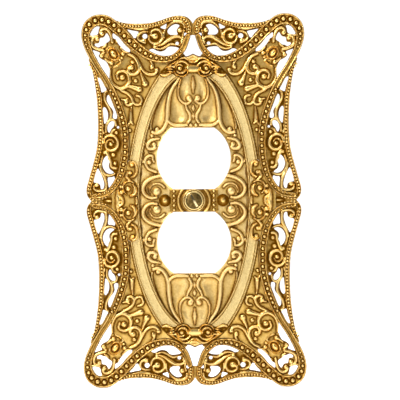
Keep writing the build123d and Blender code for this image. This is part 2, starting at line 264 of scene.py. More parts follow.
def cut_sheet(field):
    """The part of the quarter's grid where field is positive, as points and triangles."""
    wide, tall = len(columns), len(rows)
    value = field.reshape(tall, wide).copy()
    slope_z, slope_x = np.gradient(value, CELL)
    steep = np.maximum(np.hypot(slope_x, slope_z), LEAST_SLOPE)
    place = grid.reshape(tall, wide, 2).copy()
    snap = np.abs(value) < SNAP_REACH * CELL
    place[..., 0] -= np.where(snap, value * slope_x / steep**2, 0)
    place[..., 1] -= np.where(snap, value * slope_z / steep**2, 0)
    place[:, 0, 0], place[0, :, 1] = 0, 0
    value[snap] = 0
    value, place = value.ravel(), place.reshape(-1, 2)
    corner = np.arange(wide * tall).reshape(tall, wide)
    a, b = corner[:-1, :-1].ravel(), corner[:-1, 1:].ravel()
    c, d = corner[1:, 1:].ravel(), corner[1:, :-1].ravel()
    triangles = np.vstack([np.stack([a, b, c], 1), np.stack([a, c, d], 1)])
    held = value[triangles] >= 0
    count = held.sum(axis=1)
    kept = [triangles[count == 3]]
    cuts = {}
    extra = []

    def cut(kept_corner, lost_corner):
        if value[kept_corner] == 0:
            return kept_corner
        key = (kept_corner, lost_corner)
        if key not in cuts:
            share = value[kept_corner] / (value[kept_corner] - value[lost_corner])
            extra.append(place[kept_corner] * (1 - share) + place[lost_corner] * share)
            cuts[key] = len(value) + len(extra) - 1
        return cuts[key]

    trimmed = []
    for triangle, flags in zip(triangles[count == 1], held[count == 1]):
        p, q, r = np.roll(triangle, -int(np.argmax(flags)))
        trimmed.append((p, cut(p, q), cut(p, r)))
    for triangle, flags in zip(triangles[count == 2], held[count == 2]):
        p, q, r = np.roll(triangle, -int(np.argmin(flags)))
        first, last = cut(q, p), cut(r, p)
        trimmed += [(first, q, r), (first, r, last)]
    trimmed = [t for t in trimmed if len(set(t)) == 3]
    if trimmed:
        kept.append(np.array(trimmed))
    faces = np.vstack(kept)
    if extra:
        place = np.vstack([place, extra])
    used, faces = np.unique(faces, return_inverse=True)
    return place[used], faces.reshape(-1, 3)


def mirrored_sheet(sheet, signs):
    """Copies of a sheet flipped by each pair of signs and joined along the axes they share."""
    points, faces, offset = [], [], 0
    for sign_x, sign_z in signs:
        points.append(sheet[0] * (sign_x, sign_z))
        turned = sheet[1] if sign_x * sign_z > 0 else sheet[1][:, ::-1]
        faces.append(turned + offset)
        offset += len(sheet[0])
    points, faces = np.vstack(points), np.vstack(faces)
    _, first, merged = np.unique(
        np.round(points, 4), axis=0, return_index=True, return_inverse=True
    )
    return points[first], merged.ravel()[faces]


def add_piece(name, vertices, faces, material):
    """A smooth-shaded mesh object at the origin from arrays of vertices and triangles."""
    mesh = bpy.data.meshes.new(name)
    mesh.vertices.add(len(vertices))
    mesh.vertices.foreach_set("co", np.asarray(vertices, np.float32).ravel())
    mesh.loops.add(faces.size)
    mesh.loops.foreach_set("vertex_index", np.asarray(faces, np.int32).ravel())
    mesh.polygons.add(len(faces))
    mesh.polygons.foreach_set("loop_start", np.arange(0, faces.size, 3, dtype=np.int32))
    mesh.polygons.foreach_set("use_smooth", np.ones(len(faces), bool))
    mesh.update(calc_edges=True)
    mesh.validate()
    mesh.set_sharp_from_angle(angle=math.radians(60))
    mesh.materials.append(material)
    piece = bpy.data.objects.new(name, mesh)
    scene.collection.objects.link(piece)
    return piece


def with_patina(piece, values):
    """How much brown wash lies on each point of a piece, from 0 to 1."""
    attribute = piece.data.attributes.new("patina", "FLOAT", "POINT")
    attribute.data.foreach_set("value", np.asarray(values, np.float32))


def cast_piece(name, sheet, shape, back, material=None):
    """A closed casting from a sheet: shape gives front height and patina, back the rear height.

    A material given is only the front's, and the back stays the casting's plain gold.
    """
    points, faces = sheet
    front, patina = shape(np.abs(points))
    rear = np.minimum(back(np.abs(points)), front - THINNEST)
    count = len(points)
    vertices = np.zeros((2 * count, 3))
    vertices[:, 0] = np.tile(points[:, 0], 2)
    vertices[:, 2] = np.tile(points[:, 1], 2)
    vertices[:, 1] = -np.concatenate([front, rear])
    edges = np.vstack([faces[:, [0, 1]], faces[:, [1, 2]], faces[:, [2, 0]]])
    key = np.sort(edges, axis=1) @ np.array([count, 1])
    _, first, uses = np.unique(key, return_index=True, return_counts=True)
    a, b = edges[first[uses == 1]].T
    walls = np.vstack([np.stack([b, a, a + count], 1), np.stack([b, a + count, b + count], 1)])
    triangles = np.vstack([faces, faces[:, ::-1] + count, walls])
    piece = add_piece(name, vertices * MM, triangles, material or gold)
    with_patina(piece, np.concatenate([patina, np.full(count, BACK_WASH)]))
    if material:
        piece.data.materials.append(gold)
        behind = np.arange(len(piece.data.polygons)) >= len(faces)
        piece.data.polygons.foreach_set("material_index", behind.astype(np.int32))
    return piece


# The wash is cloudy, and brown is reached between these levels. Partway there the plating is a deeper
# gold, given as shares of the bright colour.
CLOUD_SCALE, CLOUD_SPREAD = 900, 0.5
WASH_START, WASH_END = 0.3, 1.15
MID_STOP, MID_SHARE = 0.45, (0.72, 0.62, 0.4)
WASHED_ROUGHNESS = 0.6
GRAIN_SCALE, GRAIN_STRENGTH, GRAIN_DEPTH = 1800, 0.12, 0.0002


def metal(name, bright, dark, roughness, stipple=0.0):
    """Plated metal: bright where the patina attribute is low, brown and duller where it is high."""
    material = bpy.data.materials.new(name)
    material.use_nodes = True
    tree = material.node_tree
    patina = add_node(tree, "ShaderNodeAttribute", attribute_name="patina").outputs["Fac"]
    place = add_node(tree, "ShaderNodeTexCoord").outputs["Object"]
    clouds = add_node(tree, "ShaderNodeTexNoise", {"Vector": place, "Scale": CLOUD_SCALE, "Detail": 4})
    spread = add_node(
        tree, "ShaderNodeMath", {0: clouds.outputs["Fac"], 1: CLOUD_SPREAD, 2: patina},
        operation="MULTIPLY_ADD",
    )
    level = add_node(tree, "ShaderNodeMapRange", {
        "Value": spread.outputs[0], "From Min": WASH_START, "From Max": WASH_END,
    }).outputs["Result"]
    colour = add_node(tree, "ShaderNodeValToRGB", {"Fac": level})
    stops = colour.color_ramp.elements
    stops[0].color, stops[1].color = (*bright, 1), (*dark, 1)
    stops.new(MID_STOP).color = (*(share * part for share, part in zip(MID_SHARE, bright)), 1)
    rough = add_node(tree, "ShaderNodeMapRange", {
        "Value": level, "To Min": roughness, "To Max": WASHED_ROUGHNESS,
    })
    grain = add_node(tree, "ShaderNodeTexNoise", {"Vector": place, "Scale": GRAIN_SCALE})
    bump = add_node(tree, "ShaderNodeBump", {
        "Height": grain.outputs["Fac"], "Strength": GRAIN_STRENGTH + stipple, "Distance": GRAIN_DEPTH,
    })
    set_inputs(tree.nodes["Principled BSDF"], {
        "Base Color": colour.outputs["Color"], "Roughness": rough.outputs["Result"], "Metallic": 1.0,
        "Normal": bump.outputs["Normal"],
    })
    return material


gold = metal("antique_gold", (0.93, 0.67, 0.25), (0.16, 0.062, 0.001), 0.33)


def dome(points, x, z, radius):
    """1 at the middle of a round dome, falling to 0 at its radius and beyond."""
    gap = np.hypot(points[:, 0] - x, points[:, 1] - z) / radius
    return np.sqrt(np.maximum(1 - gap**2, 0))


def ridge(distance, middle, width):
    """A soft ridge: 1 where a distance is at its middle, and near 0 twice its width away."""
    return np.exp(-(((distance - middle) / width) ** 2))


RAIL_RISE, RAIL_RIM_RISE = 0.25, 0.6
RAIL_RIM_INSET, RAIL_RIM_WIDTH = 0.45, 0.28
RAIL_EDGE_ROUND, RAIL_EDGE_WASH = 0.3, 0.7
CHANNEL_WASH, RIM_FOOT, RIM_FOOT_WASH = 0.62, 0.95, 0.3
SOCKET_REACH, SOCKET_DEPTH, SOCKET_WASH = 2.0, 0.7, 2.2


def rail_shape(points):
    """Front of a rail: a rim inside each edge, a brown channel between them and the beads' sockets."""
    gap, along = nearest_on_line(points, rail_line)
    inward = rail_half_width(along) - gap
    rim = ridge(inward, RAIL_RIM_INSET, RAIL_RIM_WIDTH)
    relief = RAIL_RISE + RAIL_RIM_RISE * (rim - np.clip(1 - inward / RAIL_EDGE_ROUND, 0, 1) ** 2)
    foot = RIM_FOOT_WASH * ridge(inward, RIM_FOOT, 0.2)
    patina = np.clip(CHANNEL_WASH + foot - 0.6 * rim, 0, 1)
    patina += RAIL_EDGE_WASH * np.clip(1 - inward / 0.25, 0, 1)
    for x, z, radius in RAIL_BEADS:
        socket = dome(points, x, z, SOCKET_REACH * radius)
        relief -= SOCKET_DEPTH * radius * socket
        patina = np.maximum(patina, SOCKET_WASH * socket)
    return cushion(points) + relief, np.clip(patina, 0, 1)


def flat_back(points):
    return np.zeros(len(points))


QUARTERS = {
    "top_right": (1, 1), "top_left": (-1, 1), "bottom_right": (1, -1), "bottom_left": (-1, -1),
}


def join_casting(piece, *node):
    """Makes a piece one with the plate, where it stands for the CAD node named, if one is."""
    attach(piece, "plate")
    if node:
        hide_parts(*node)


def cast_quarters(name, sheet, shape, back):
    """The four mirrored copies of a part of the casting, one for each quarter of the plate."""
    for quarter, signs in QUARTERS.items():
        node = f"{name}_{quarter}"
        join_casting(cast_piece(node, mirrored_sheet(sheet, [signs]), shape, back), node)


cast_quarters("beaded_rail", cut_sheet(rail_field), rail_shape, flat_back)

# --- Rail beads --------------------------------------------------------------------------------------
# A round bead stands in each socket of the rails, cast in one with them and polished by handling.
# Points carry each bead's radius, and a node tree sets a small round of few faces on every point.
BEAD_SEGMENTS, BEAD_RINGS = 10, 6
BEAD_RISE, BEAD_SWELL = 0.75, 1.12


def bead_tree(name, resampled):
    """A node tree that puts a sphere on each point, or at an even pitch along the mesh's edges."""
    tree = bpy.data.node_groups.new(name, "GeometryNodeTree")
    face = tree.interface
    face.new_socket("Geometry", in_out="INPUT", socket_type="NodeSocketGeometry")
    pitch = face.new_socket("Pitch", in_out="INPUT", socket_type="NodeSocketFloat")
    face.new_socket("Geometry", in_out="OUTPUT", socket_type="NodeSocketGeometry")
    given = add_node(tree, "NodeGroupInput")
    seats = given.outputs["Geometry"]
    if resampled:
        curve = add_node(tree, "GeometryNodeMeshToCurve", {"Mesh": seats})
        seats = add_node(
            tree, "GeometryNodeResampleCurve",
            {"Curve": curve.outputs["Curve"], "Length": given.outputs["Pitch"]}, mode="LENGTH",
        ).outputs["Curve"]
    sphere = add_node(tree, "GeometryNodeMeshUVSphere", {
        "Segments": BEAD_SEGMENTS, "Rings": BEAD_RINGS, "Radius": 1.0,
    })
    smooth = add_node(tree, "GeometryNodeSetShadeSmooth", {"Geometry": sphere.outputs["Mesh"]})
    radius = add_node(
        tree, "GeometryNodeInputNamedAttribute", {"Name": "radius"}, data_type="FLOAT"
    )
    beads = add_node(tree, "GeometryNodeInstanceOnPoints", {
        "Points": seats, "Instance": smooth.outputs["Geometry"], "Scale": radius.outputs["Attribute"],
    })
    realize = add_node(tree, "GeometryNodeRealizeInstances", {"Geometry": beads.outputs["Instances"]})
    coat = add_node(tree, "GeometryNodeSetMaterial", {
        "Geometry": realize.outputs["Geometry"], "Material": gold,
    })
    add_node(tree, "NodeGroupOutput", {"Geometry": coat.outputs["Geometry"]})
    return tree, pitch.identifier


socket_beads = bead_tree("beads_at_points", False)
row_beads = bead_tree("beads_along_lines", True)


def grow_beads(name, points, radii, edges=(), pitch=1.0):
    """Beads of the given radii on points, or at an even pitch along the edges that join points."""
    base = bpy.data.meshes.new(name + "_points")
    base.from_pydata([tuple(p) for p in points], edges, [])
    base.attributes.new("radius", "FLOAT", "POINT").data.foreach_set("value", radii)
    holder = bpy.data.objects.new(name + "_points", base)
    scene.collection.objects.link(holder)
    growth = holder.modifiers.new("beads", "NODES")
    growth.node_group, pitch_input = row_beads if edges else socket_beads
    growth[pitch_input] = pitch
    evaluated = holder.evaluated_get(bpy.context.evaluated_depsgraph_get())
    mesh = bpy.data.meshes.new_from_object(evaluated)
    mesh.name = name
    bpy.data.objects.remove(holder)
    piece = bpy.data.objects.new(name, mesh)
    scene.collection.objects.link(piece)
    return piece


def on_front(x, z, height, signs):
    """A place on the front of one quarter, in metres, at a height above the wall."""
    return (x * signs[0] * MM, -height * MM, z * signs[1] * MM)


rail_seats = np.array(RAIL_BEADS) * (1, 1, BEAD_SWELL)
rail_heights = rail_shape(rail_seats[:, :2])[0] + BEAD_RISE * rail_seats[:, 2]
for quarter, signs in QUARTERS.items():
    places = [on_front(x, z, h, signs) for (x, z, _), h in zip(rail_seats, rail_heights)]
    join_casting(grow_beads(f"rail_beads_{quarter}", places, rail_seats[:, 2] * MM))

# --- Cresting ----------------------------------------------------------------------------------------
# The pierced cresting above and below: a beaded outer rim, a rosette, C-scrolls and a leaf, cast with
# the plate and open to the wall behind.
TOP_EDGE = [
    (0, 82.0), (1.1, 83.7), (3.2, 85.2), (7.0, 85.7), (11.0, 84.9), (15.0, 83.5), (19.5, 82.4),
    (26.0, 82.1), (32.0, 82.5), (36.5, 84.0),
]
TOP_PIERCINGS = [
    [(30.4, 79.3), (27.8, 78.9), (25.2, 78.3), (25.8, 76.8), (26.8, 75.3), (28.6, 77.3)],
    [(15.1, 80.3), (13.6, 81.2), (12.1, 82.0), (12.3, 80.8), (12.6, 79.5), (13.8, 79.7)],
    [(11.6, 79.0), (10.1, 80.8), (8.0, 81.8), (6.1, 81.2), (6.8, 80.1), (7.5, 78.7), (7.0, 77.0),
     (8.6, 76.8), (10.6, 76.9), (11.6, 77.8)],
    [(20.3, 69.6), (18.6, 70.4), (16.8, 69.5), (14.9, 69.1), (13.0, 69.7), (11.4, 71.2),
     (9.0, 71.3), (6.6, 70.6), (7.2, 68.6), (10.0, 66.9), (14.5, 66.4), (18.0, 67.6)],
]
ROUND = [(math.cos(a), math.sin(a)) for a in np.linspace(0, 2 * math.pi, 12, endpoint=False)]


def ring_outline(x, z, radius):
    return [(x + radius * c, z + radius * s) for c, s in ROUND]


TOP_PIERCINGS += [
    ring_outline(22.2, 76.2, 1.15), ring_outline(3.4, 77.0, 0.75), ring_outline(7.3, 72.8, 0.8),
]

# Raised work: a smooth line's points, half width (start, middle, end) and height over the ground.
# Its section is this power of a parabola, and the wash at its foot fades over this distance.
SECTION_POWER, WASH_REACH = 0.75, 0.6
BRIGHT_HEIGHT, BRIGHT_SHARE = 0.6, 0.95
# Beaded rims: half width, rise of the channel and its edges, their inset and width, and their washes.
BAND_HALF, BAND_RISE, BAND_EDGE_RISE = 1.2, 0.35, 0.55
BAND_EDGE_INSET, BAND_EDGE_WIDTH = 0.2, 0.22
BAND_WASH, BAND_CHANNEL_WASH, BAND_EDGE_SHINE = 0.15, 0.8, 0.6
TOP_RIM = [
    (34.0, 82.6), (31.0, 81.2), (28.5, 80.9), (25.0, 80.8), (21.0, 81.0), (18.0, 81.6), (15.0, 82.6),
    (12.0, 83.8), (9.0, 84.4), (6.0, 84.3), (3.6, 83.6), (2.3, 81.8), (1.9, 79.3), (2.2, 76.6),
]
TOP_STROKES = [
    ([(12.0, 80.0), (11.0, 81.3), (9.5, 82.4), (7.5, 83.0), (5.5, 82.7), (4.2, 81.8), (3.8, 80.2)],
     (0.3, 0.6, 0.5), 1.1),
    ([(16.5, 71.5), (14.0, 72.5), (11.5, 74.3), (9.0, 75.7), (6.5, 75.8), (5.0, 75.0)],
     (0.4, 0.9, 0.5), 1.3),
    ([(18.0, 70.7), (15.0, 70.2), (12.5, 71.2), (10.5, 72.4), (8.0, 72.2), (6.0, 71.8)],
     (0.4, 0.6, 0.4), 1.1),
    ([(21.0, 78.3), (23.0, 78.2), (24.8, 77.3), (25.5, 75.8), (24.8, 74.3), (22.5, 73.4)],
     (0.4, 0.6, 0.8), 1.1),
    ([(20.4, 76.0), (20.0, 74.2), (18.6, 72.9), (16.6, 72.8), (14.9, 73.8), (14.1, 75.6),
      (14.4, 77.6), (15.8, 79.0), (17.8, 79.2), (19.2, 78.2), (19.4, 76.8)], (0.5, 0.7, 0.5), 1.3),
    ([(12.8, 79.3), (13.4, 77.4), (13.2, 75.6)], (0.3, 0.5, 0.3), 0.9),
    ([(4.2, 78.8), (4.6, 76.6), (4.4, 74.6), (5.4, 72.6)], (0.4, 0.5, 0.4), 0.9),
    ([(28.5, 80.0), (27.0, 79.6), (23.8, 79.4), (20.8, 79.8)], (0.2, 0.5, 0.3), 0.8),
]
TOP_BALLS = [
    (17.5, 76.2, 1.3, 1.5), (6.0, 78.9, 1.0, 1.3), (5.0, 73.8, 0.8, 1.1), (17.7, 71.6, 0.7, 1.0),
    (18.8, 76.6, 0.7, 1.1), (22.6, 74.2, 0.9, 1.0),
]


def raised(points, strokes, balls, broad):
    """Height of strokes and balls over their ground, and the dark wash that gathers at their feet."""
    lift, wash = np.zeros(len(points)), np.zeros(len(points))
    for line, widths, height in strokes:
        curve = smooth_line(line)
        reach = max(widths) * broad + 2.0
        low, high = curve.min(axis=0) - reach, curve.max(axis=0) + reach
        near = np.flatnonzero(np.all((points > low) & (points < high), axis=1))
        if not len(near):
            continue
        gap, along = nearest_on_line(points[near], curve)
        half = broad * np.interp(along, (0, 0.5, 1), widths)
        body = np.maximum(1 - (gap / half) ** 2, 0) ** SECTION_POWER
        lift[near] = np.maximum(lift[near], height * body)
        wash[near] = np.maximum(wash[near], np.exp(-np.maximum(gap - half, 0) / WASH_REACH))
    for x, z, radius, height in balls:
        beyond = np.hypot(points[:, 0] - x, points[:, 1] - z) - radius * broad
        lift = np.maximum(lift, height * dome(points, x, z, radius * broad))
        wash = np.maximum(wash, np.exp(-np.maximum(beyond, 0) / WASH_REACH))
    return lift, wash


def beaded_band(points, line, half):
    """Two thin ridges with a channel between them for a row of beads, and its wash."""
    gap, _ = nearest_on_line(points, smooth_line(line))
    edge = ridge(gap, half - BAND_EDGE_INSET, BAND_EDGE_WIDTH)
    lift = (BAND_RISE + BAND_EDGE_RISE * edge) * np.clip((half + 0.1 - gap) / 0.25, 0, 1)
    channel = np.exp(-((gap / (0.7 * half)) ** 4))
    wash = BAND_WASH + BAND_CHANNEL_WASH * channel - BAND_EDGE_SHINE * edge
    wash = np.where(gap > half - 0.1, np.exp(-np.maximum(gap - half, 0) / WASH_REACH), wash)
    return lift, wash


def worked_shape(strokes, balls, bands=(), ground=0.75, tone=0.4, broad=1.0):
    """A shape for cast_piece: raised work and beaded bands over a ground sunk below the cushion.

    tone is the ground's own wash, and broad widens every stroke and ball.
    """

    def shape(points):
        lift, wash = raised(points, strokes, balls, broad)
        high = np.clip(lift / BRIGHT_HEIGHT, 0, 1)
        patina = tone * (1 - high) + wash * (1 - BRIGHT_SHARE * high)
        for line, half in bands:
            band, band_wash = beaded_band(points, line, half)
            patina = np.where(band > lift, band_wash, np.maximum(patina, band_wash * (1 - high)))
            lift = np.maximum(lift, band)
        return cushion(points) - ground + lift, np.clip(patina, 0, 1)

    return shape


SHELL = 1.9


def hollow_back(points):
    """The back of a thin part of the casting, which follows its front."""
    return np.maximum(cushion(points) - SHELL, 0)


def pierced_field(field, piercings):
    """A field with each of the piercings cut out of it."""
    for outline in piercings:
        edge = smooth_line(outline, closed=True)
        field = np.minimum(field, -hole_field(grid, edge))
    return field


rail_top = [p[:2] for p in RAIL[7::-1]]
top_outline = np.vstack([smooth_line(TOP_EDGE), rail_top, [(-1.0, 77.0), (-1.0, 82.0)]])
top_field = np.minimum(inside_polygon(grid, top_outline), -rail_field)
top_field = pierced_field(top_field, TOP_PIERCINGS)
top_shape = worked_shape(TOP_STROKES, TOP_BALLS, [(TOP_RIM, BAND_HALF)], tone=0.6, broad=1.15)
cast_quarters("cresting", cut_sheet(top_field), top_shape, hollow_back)


ROW_STEP, ROW_RISE = 0.8, 0.3


def bead_rows(name, lines, radius, pitch, shape):
    """Rows of small beads at an even pitch on each quarter's front, along each of the lines."""
    curves = [smooth_line(line, ROW_STEP) for line in lines]
    ends = np.cumsum([len(curve) for curve in curves])
    edges = [(i, i + 1) for i in range(ends[-1] - 1) if i + 1 not in ends]
    places = np.vstack(curves)
    heights = shape(places)[0] + ROW_RISE * radius
    radii = np.full(len(places), radius * MM)
    for quarter, signs in QUARTERS.items():
        points = [on_front(x, z, h, signs) for (x, z), h in zip(places, heights)]
        join_casting(grow_beads(f"{name}_{quarter}", points, radii, edges, pitch * MM))


bead_rows("cresting_beads", [TOP_RIM], 0.5, 1.3, top_shape)

# --- Side filigree -----------------------------------------------------------------------------------
# The pierced wings at the sides: a milled outer rim, S-strokes, a rosette and curled stems, cast with
# the plate and open to the wall behind.
SIDE_EDGE = [
    (47.5, 0), (49.3, 2.4), (49.7, 5.5), (48.6, 10.0), (46.9, 16.0), (45.2, 22.5), (44.4, 29.0),
    (44.2, 37.0), (44.5, 45.0), (45.3, 53.0), (46.6, 60.0), (48.4, 65.6),
]
SIDE_PIERCINGS = [
    [(44.2, 56.9), (43.3, 57.1), (42.1, 55.4), (41.0, 53.2), (40.1, 51.5), (41.2, 50.7),
     (42.4, 50.4), (42.9, 52.4), (43.6, 54.8)],
    [(39.3, 49.2), (38.4, 47.8), (37.3, 45.0), (36.2, 42.2), (35.4, 39.6), (35.6, 38.1),
     (37.1, 38.2), (37.3, 39.6), (37.0, 41.0), (37.5, 42.4), (39.0, 44.4), (40.0, 46.4),
     (40.0, 48.2)],
    [(41.8, 43.1), (41.0, 43.5), (40.0, 42.2), (39.5, 40.2), (39.7, 37.8), (40.7, 36.0),
     (41.3, 36.0), (41.6, 38.6), (41.8, 41.2)],
    [(37.7, 37.0), (36.6, 36.6), (36.8, 34.7), (38.0, 33.3), (38.9, 31.6), (39.7, 32.5),
     (39.8, 34.4), (39.0, 36.2)],
    [(40.0, 21.1), (39.6, 19.4), (38.9, 18.2), (39.3, 16.6), (38.9, 14.9), (37.0, 13.2),
     (38.6, 12.6), (40.4, 13.2), (41.8, 15.0), (42.3, 17.4), (41.5, 19.8)],
    [(44.4, 15.1), (43.3, 13.3), (42.2, 10.8), (41.5, 8.0), (41.9, 5.8), (43.0, 5.6), (43.5, 7.6),
     (45.0, 8.5), (46.3, 8.7), (46.0, 11.0), (45.2, 13.6)],
    [(39.8, 10.8), (38.2, 11.0), (36.7, 11.4), (36.9, 9.6), (38.0, 7.3), (39.3, 6.3), (39.7, 8.4)],
    ring_outline(34.9, 34.1, 0.6),
]
SIDE_RIM = [
    (47.9, 63.0), (45.8, 59.5), (45.0, 56.0), (44.4, 52.0), (43.6, 48.5), (43.2, 44.0), (42.9, 38.0),
    (42.8, 34.0), (43.0, 29.0), (43.7, 24.0), (44.9, 19.0), (46.2, 14.0), (47.4, 10.0), (48.6, 6.4),
    (48.9, 4.0), (48.2, 2.0),
]
SIDE_STROKES = [
    ([(40.0, 51.0), (40.8, 50.2), (41.1, 48.3), (40.6, 46.3), (39.5, 44.4), (38.4, 42.3),
      (38.1, 40.4), (38.4, 38.5), (39.2, 37.0), (40.2, 35.5), (40.5, 33.8), (40.5, 32.0)],
     (0.5, 0.7, 0.5), 1.1),
    ([(40.0, 36.8), (38.5, 37.5), (37.0, 37.6), (36.0, 36.4), (35.8, 34.9)], (0.4, 0.5, 0.5), 1.0),
    ([(41.6, 27.0), (41.0, 29.4), (39.0, 30.4), (36.7, 29.9), (35.2, 28.0), (35.2, 25.6),
      (36.6, 23.8), (38.8, 23.5), (40.4, 24.8), (40.5, 26.8), (39.5, 28.2), (38.0, 28.4),
      (37.0, 27.2)], (0.5, 0.75, 0.3), 1.3),
    ([(40.4, 22.8), (39.6, 21.4), (38.9, 19.6), (38.4, 18.2), (38.2, 16.2), (37.2, 15.2),
      (35.8, 15.2)], (0.8, 0.6, 0.5), 1.0),
    ([(42.2, 20.6), (43.0, 17.6), (42.8, 15.0), (41.5, 12.8), (39.8, 11.8), (38.0, 11.9),
      (36.4, 12.6)], (0.4, 0.5, 0.4), 1.0),
    ([(43.7, 17.0), (42.7, 13.5), (41.2, 11.0), (40.6, 8.5), (40.7, 5.8)], (0.3, 0.6, 0.7), 1.1),
    ([(41.0, 4.9), (42.5, 4.6), (44.5, 4.6), (46.1, 5.6), (46.3, 7.0)], (0.6, 0.6, 0.4), 1.1),
    ([(41.5, 31.5), (42.0, 33.0), (41.9, 35.0)], (0.4, 0.4, 0.2), 0.8),
    ([(36.2, 33.2), (37.4, 32.6), (38.2, 31.2)], (0.3, 0.5, 0.5), 0.9),
    ([(38.6, 0.0), (39.8, 0.0), (41.2, 0.0)], (0.6, 0.5, 0.2), 0.6),
]
SIDE_BALLS = [
    (38.3, 26.3, 0.8, 0.8), (45.0, 7.5, 0.9, 1.2), (37.2, 21.4, 0.8, 1.0), (36.4, 17.4, 0.7, 1.0),
    (41.3, 22.4, 0.6, 0.9), (35.7, 31.6, 0.7, 0.9),
]
# Beads of the notch at mid side, between the ends of the rails.
NOTCH_ROW = [(40.9, 1.7), (42.6, 1.1), (44.6, 0.8), (46.6, 0.7)]
rail_side = [p[:2] for p in RAIL[14:24]]
side_outline = np.vstack([
    [(47.5, -1.0)], smooth_line(SIDE_EDGE), rail_side, [(36.3, 3.6), (36.3, -1.0)],
])
side_field = np.minimum(inside_polygon(grid, side_outline), -rail_field)
SIDE_ORNAMENT_OUTLINE = [
    (25.6, 0), (25.9, 3.0), (25.6, 5.8), (26.4, 8.3), (27.4, 9.6), (26.1, 11.4), (25.7, 13.8),
    (26.0, 16.4), (27.0, 18.2), (28.7, 18.8), (30.4, 18.2), (32.2, 14.9), (33.8, 11.8),
    (35.8, 8.8), (37.2, 6.2), (37.8, 3.0), (37.8, 0),
]
ornament_line = np.vstack([smooth_line(SIDE_ORNAMENT_OUTLINE), [(37.8, -1.0), (25.6, -1.0)]])
ornament_field = np.minimum(inside_polygon(grid, ornament_line), -rail_field)
side_field = pierced_field(np.minimum(side_field, -ornament_field), SIDE_PIERCINGS)
side_shape = worked_shape(SIDE_STROKES, SIDE_BALLS, [(SIDE_RIM, BAND_HALF)], tone=0.6, broad=1.2)
cast_quarters("side_filigree", cut_sheet(side_field), side_shape, hollow_back)
bead_rows("side_beads", [SIDE_RIM[:-1], NOTCH_ROW], 0.52, 1.45, side_shape)

# --- Corner cartouches -------------------------------------------------------------------------------
# Each corner has an oval stone in a ring, leaning outwards, between pierced scrolls. It is cast with
# the plate, and its stone stands highest in the corner.
CARTOUCHE_EDGE = [(27.2, 70.0), (29.2, 68.8), (31.8, 66.0), (34.0, 63.4), (36.5, 61.7), (38.6, 61.6)]
CORNER_PIERCINGS = [
    [(47.4, 76.8), (46.6, 78.9), (45.2, 80.5), (43.2, 80.9), (43.6, 79.2), (44.0, 77.4),
     (45.6, 76.7)],
    [(43.0, 75.4), (41.4, 75.8), (40.6, 76.8), (39.9, 77.8), (38.8, 76.2), (38.5, 74.4),
     (40.0, 73.2), (41.2, 72.0), (42.6, 71.8), (43.8, 71.2), (45.4, 72.1), (45.2, 73.0),
     (43.5, 73.3)],
    [(37.0, 77.7), (35.2, 76.4), (33.0, 74.2), (31.2, 72.0), (29.3, 70.2), (29.2, 69.0),
     (31.0, 69.3), (33.0, 71.0), (34.5, 72.8), (35.7, 74.8), (37.0, 75.6)],
    [(46.5, 69.8), (44.8, 69.5), (43.0, 68.6), (43.7, 67.2), (42.4, 65.8), (40.4, 64.7),
     (39.1, 62.5), (38.7, 60.0), (39.0, 57.8), (40.6, 59.3), (42.8, 63.0), (45.0, 67.0)],
]
CORNER_STROKES = [
    ([(37.3, 73.5), (37.7, 76.0), (38.3, 77.8), (39.5, 79.3), (41.0, 79.8), (42.4, 79.1),
      (42.9, 77.8)], (0.6, 0.7, 0.5), 1.0),
    ([(41.5, 69.8), (44.0, 70.3), (46.0, 71.3), (46.8, 72.8), (46.7, 74.5), (45.9, 75.9),
      (44.6, 76.2)], (0.6, 0.7, 0.5), 1.0),
    ([(47.8, 76.4), (46.2, 76.2), (44.2, 76.6)], (0.4, 0.5, 0.5), 0.8),
    ([(40.2, 73.8), (40.6, 72.0), (41.8, 71.0)], (0.5, 0.6, 0.4), 0.9),
    ([(35.4, 75.4), (34.6, 74.6), (34.4, 73.2)], (0.4, 0.5, 0.4), 0.9),
    ([(33.4, 71.0), (32.2, 69.6), (31.2, 69.0), (29.6, 68.6)], (0.4, 0.5, 0.3), 0.9),
    ([(34.0, 65.4), (33.2, 64.4), (34.4, 62.9), (36.6, 62.0)], (0.4, 0.6, 0.4), 0.9),
    ([(41.0, 68.9), (42.0, 68.2), (43.0, 67.6)], (0.4, 0.5, 0.3), 0.9),
    ([(40.6, 65.6), (39.0, 64.4), (37.2, 63.4)], (0.4, 0.6, 0.4), 0.9),
]
CORNER_BALLS = [
    (42.0, 77.4, 0.9, 1.3), (44.3, 75.0, 0.9, 1.3), (42.4, 67.3, 0.9, 1.3), (37.8, 63.9, 0.9, 1.3),
    (32.5, 68.1, 0.8, 1.1), (35.1, 74.0, 0.7, 1.0), (40.2, 75.0, 0.7, 1.0), (33.0, 66.2, 0.6, 1.0),
]
STONE, STONE_LEAN = (36.9, 68.0), math.radians(55)
STONE_AXES, STONE_RISE = (2.0, 1.25), 1.9
RING_AXES, RING_RISE, RING_REACH = (3.4, 2.5), 1.5, 1.12
corner_worked = worked_shape(CORNER_STROKES, CORNER_BALLS, ground=0.35, tone=0.3, broad=1.2)


def stone_gap(points, axes):
    """How far out each point is in a leaning oval round the stone: 1 on its edge, less inside."""
    x, z = points[:, 0] - STONE[0], points[:, 1] - STONE[1]
    long = x * math.cos(STONE_LEAN) + z * math.sin(STONE_LEAN)
    short = z * math.cos(STONE_LEAN) - x * math.sin(STONE_LEAN)
    return np.hypot(long / axes[0], short / axes[1])


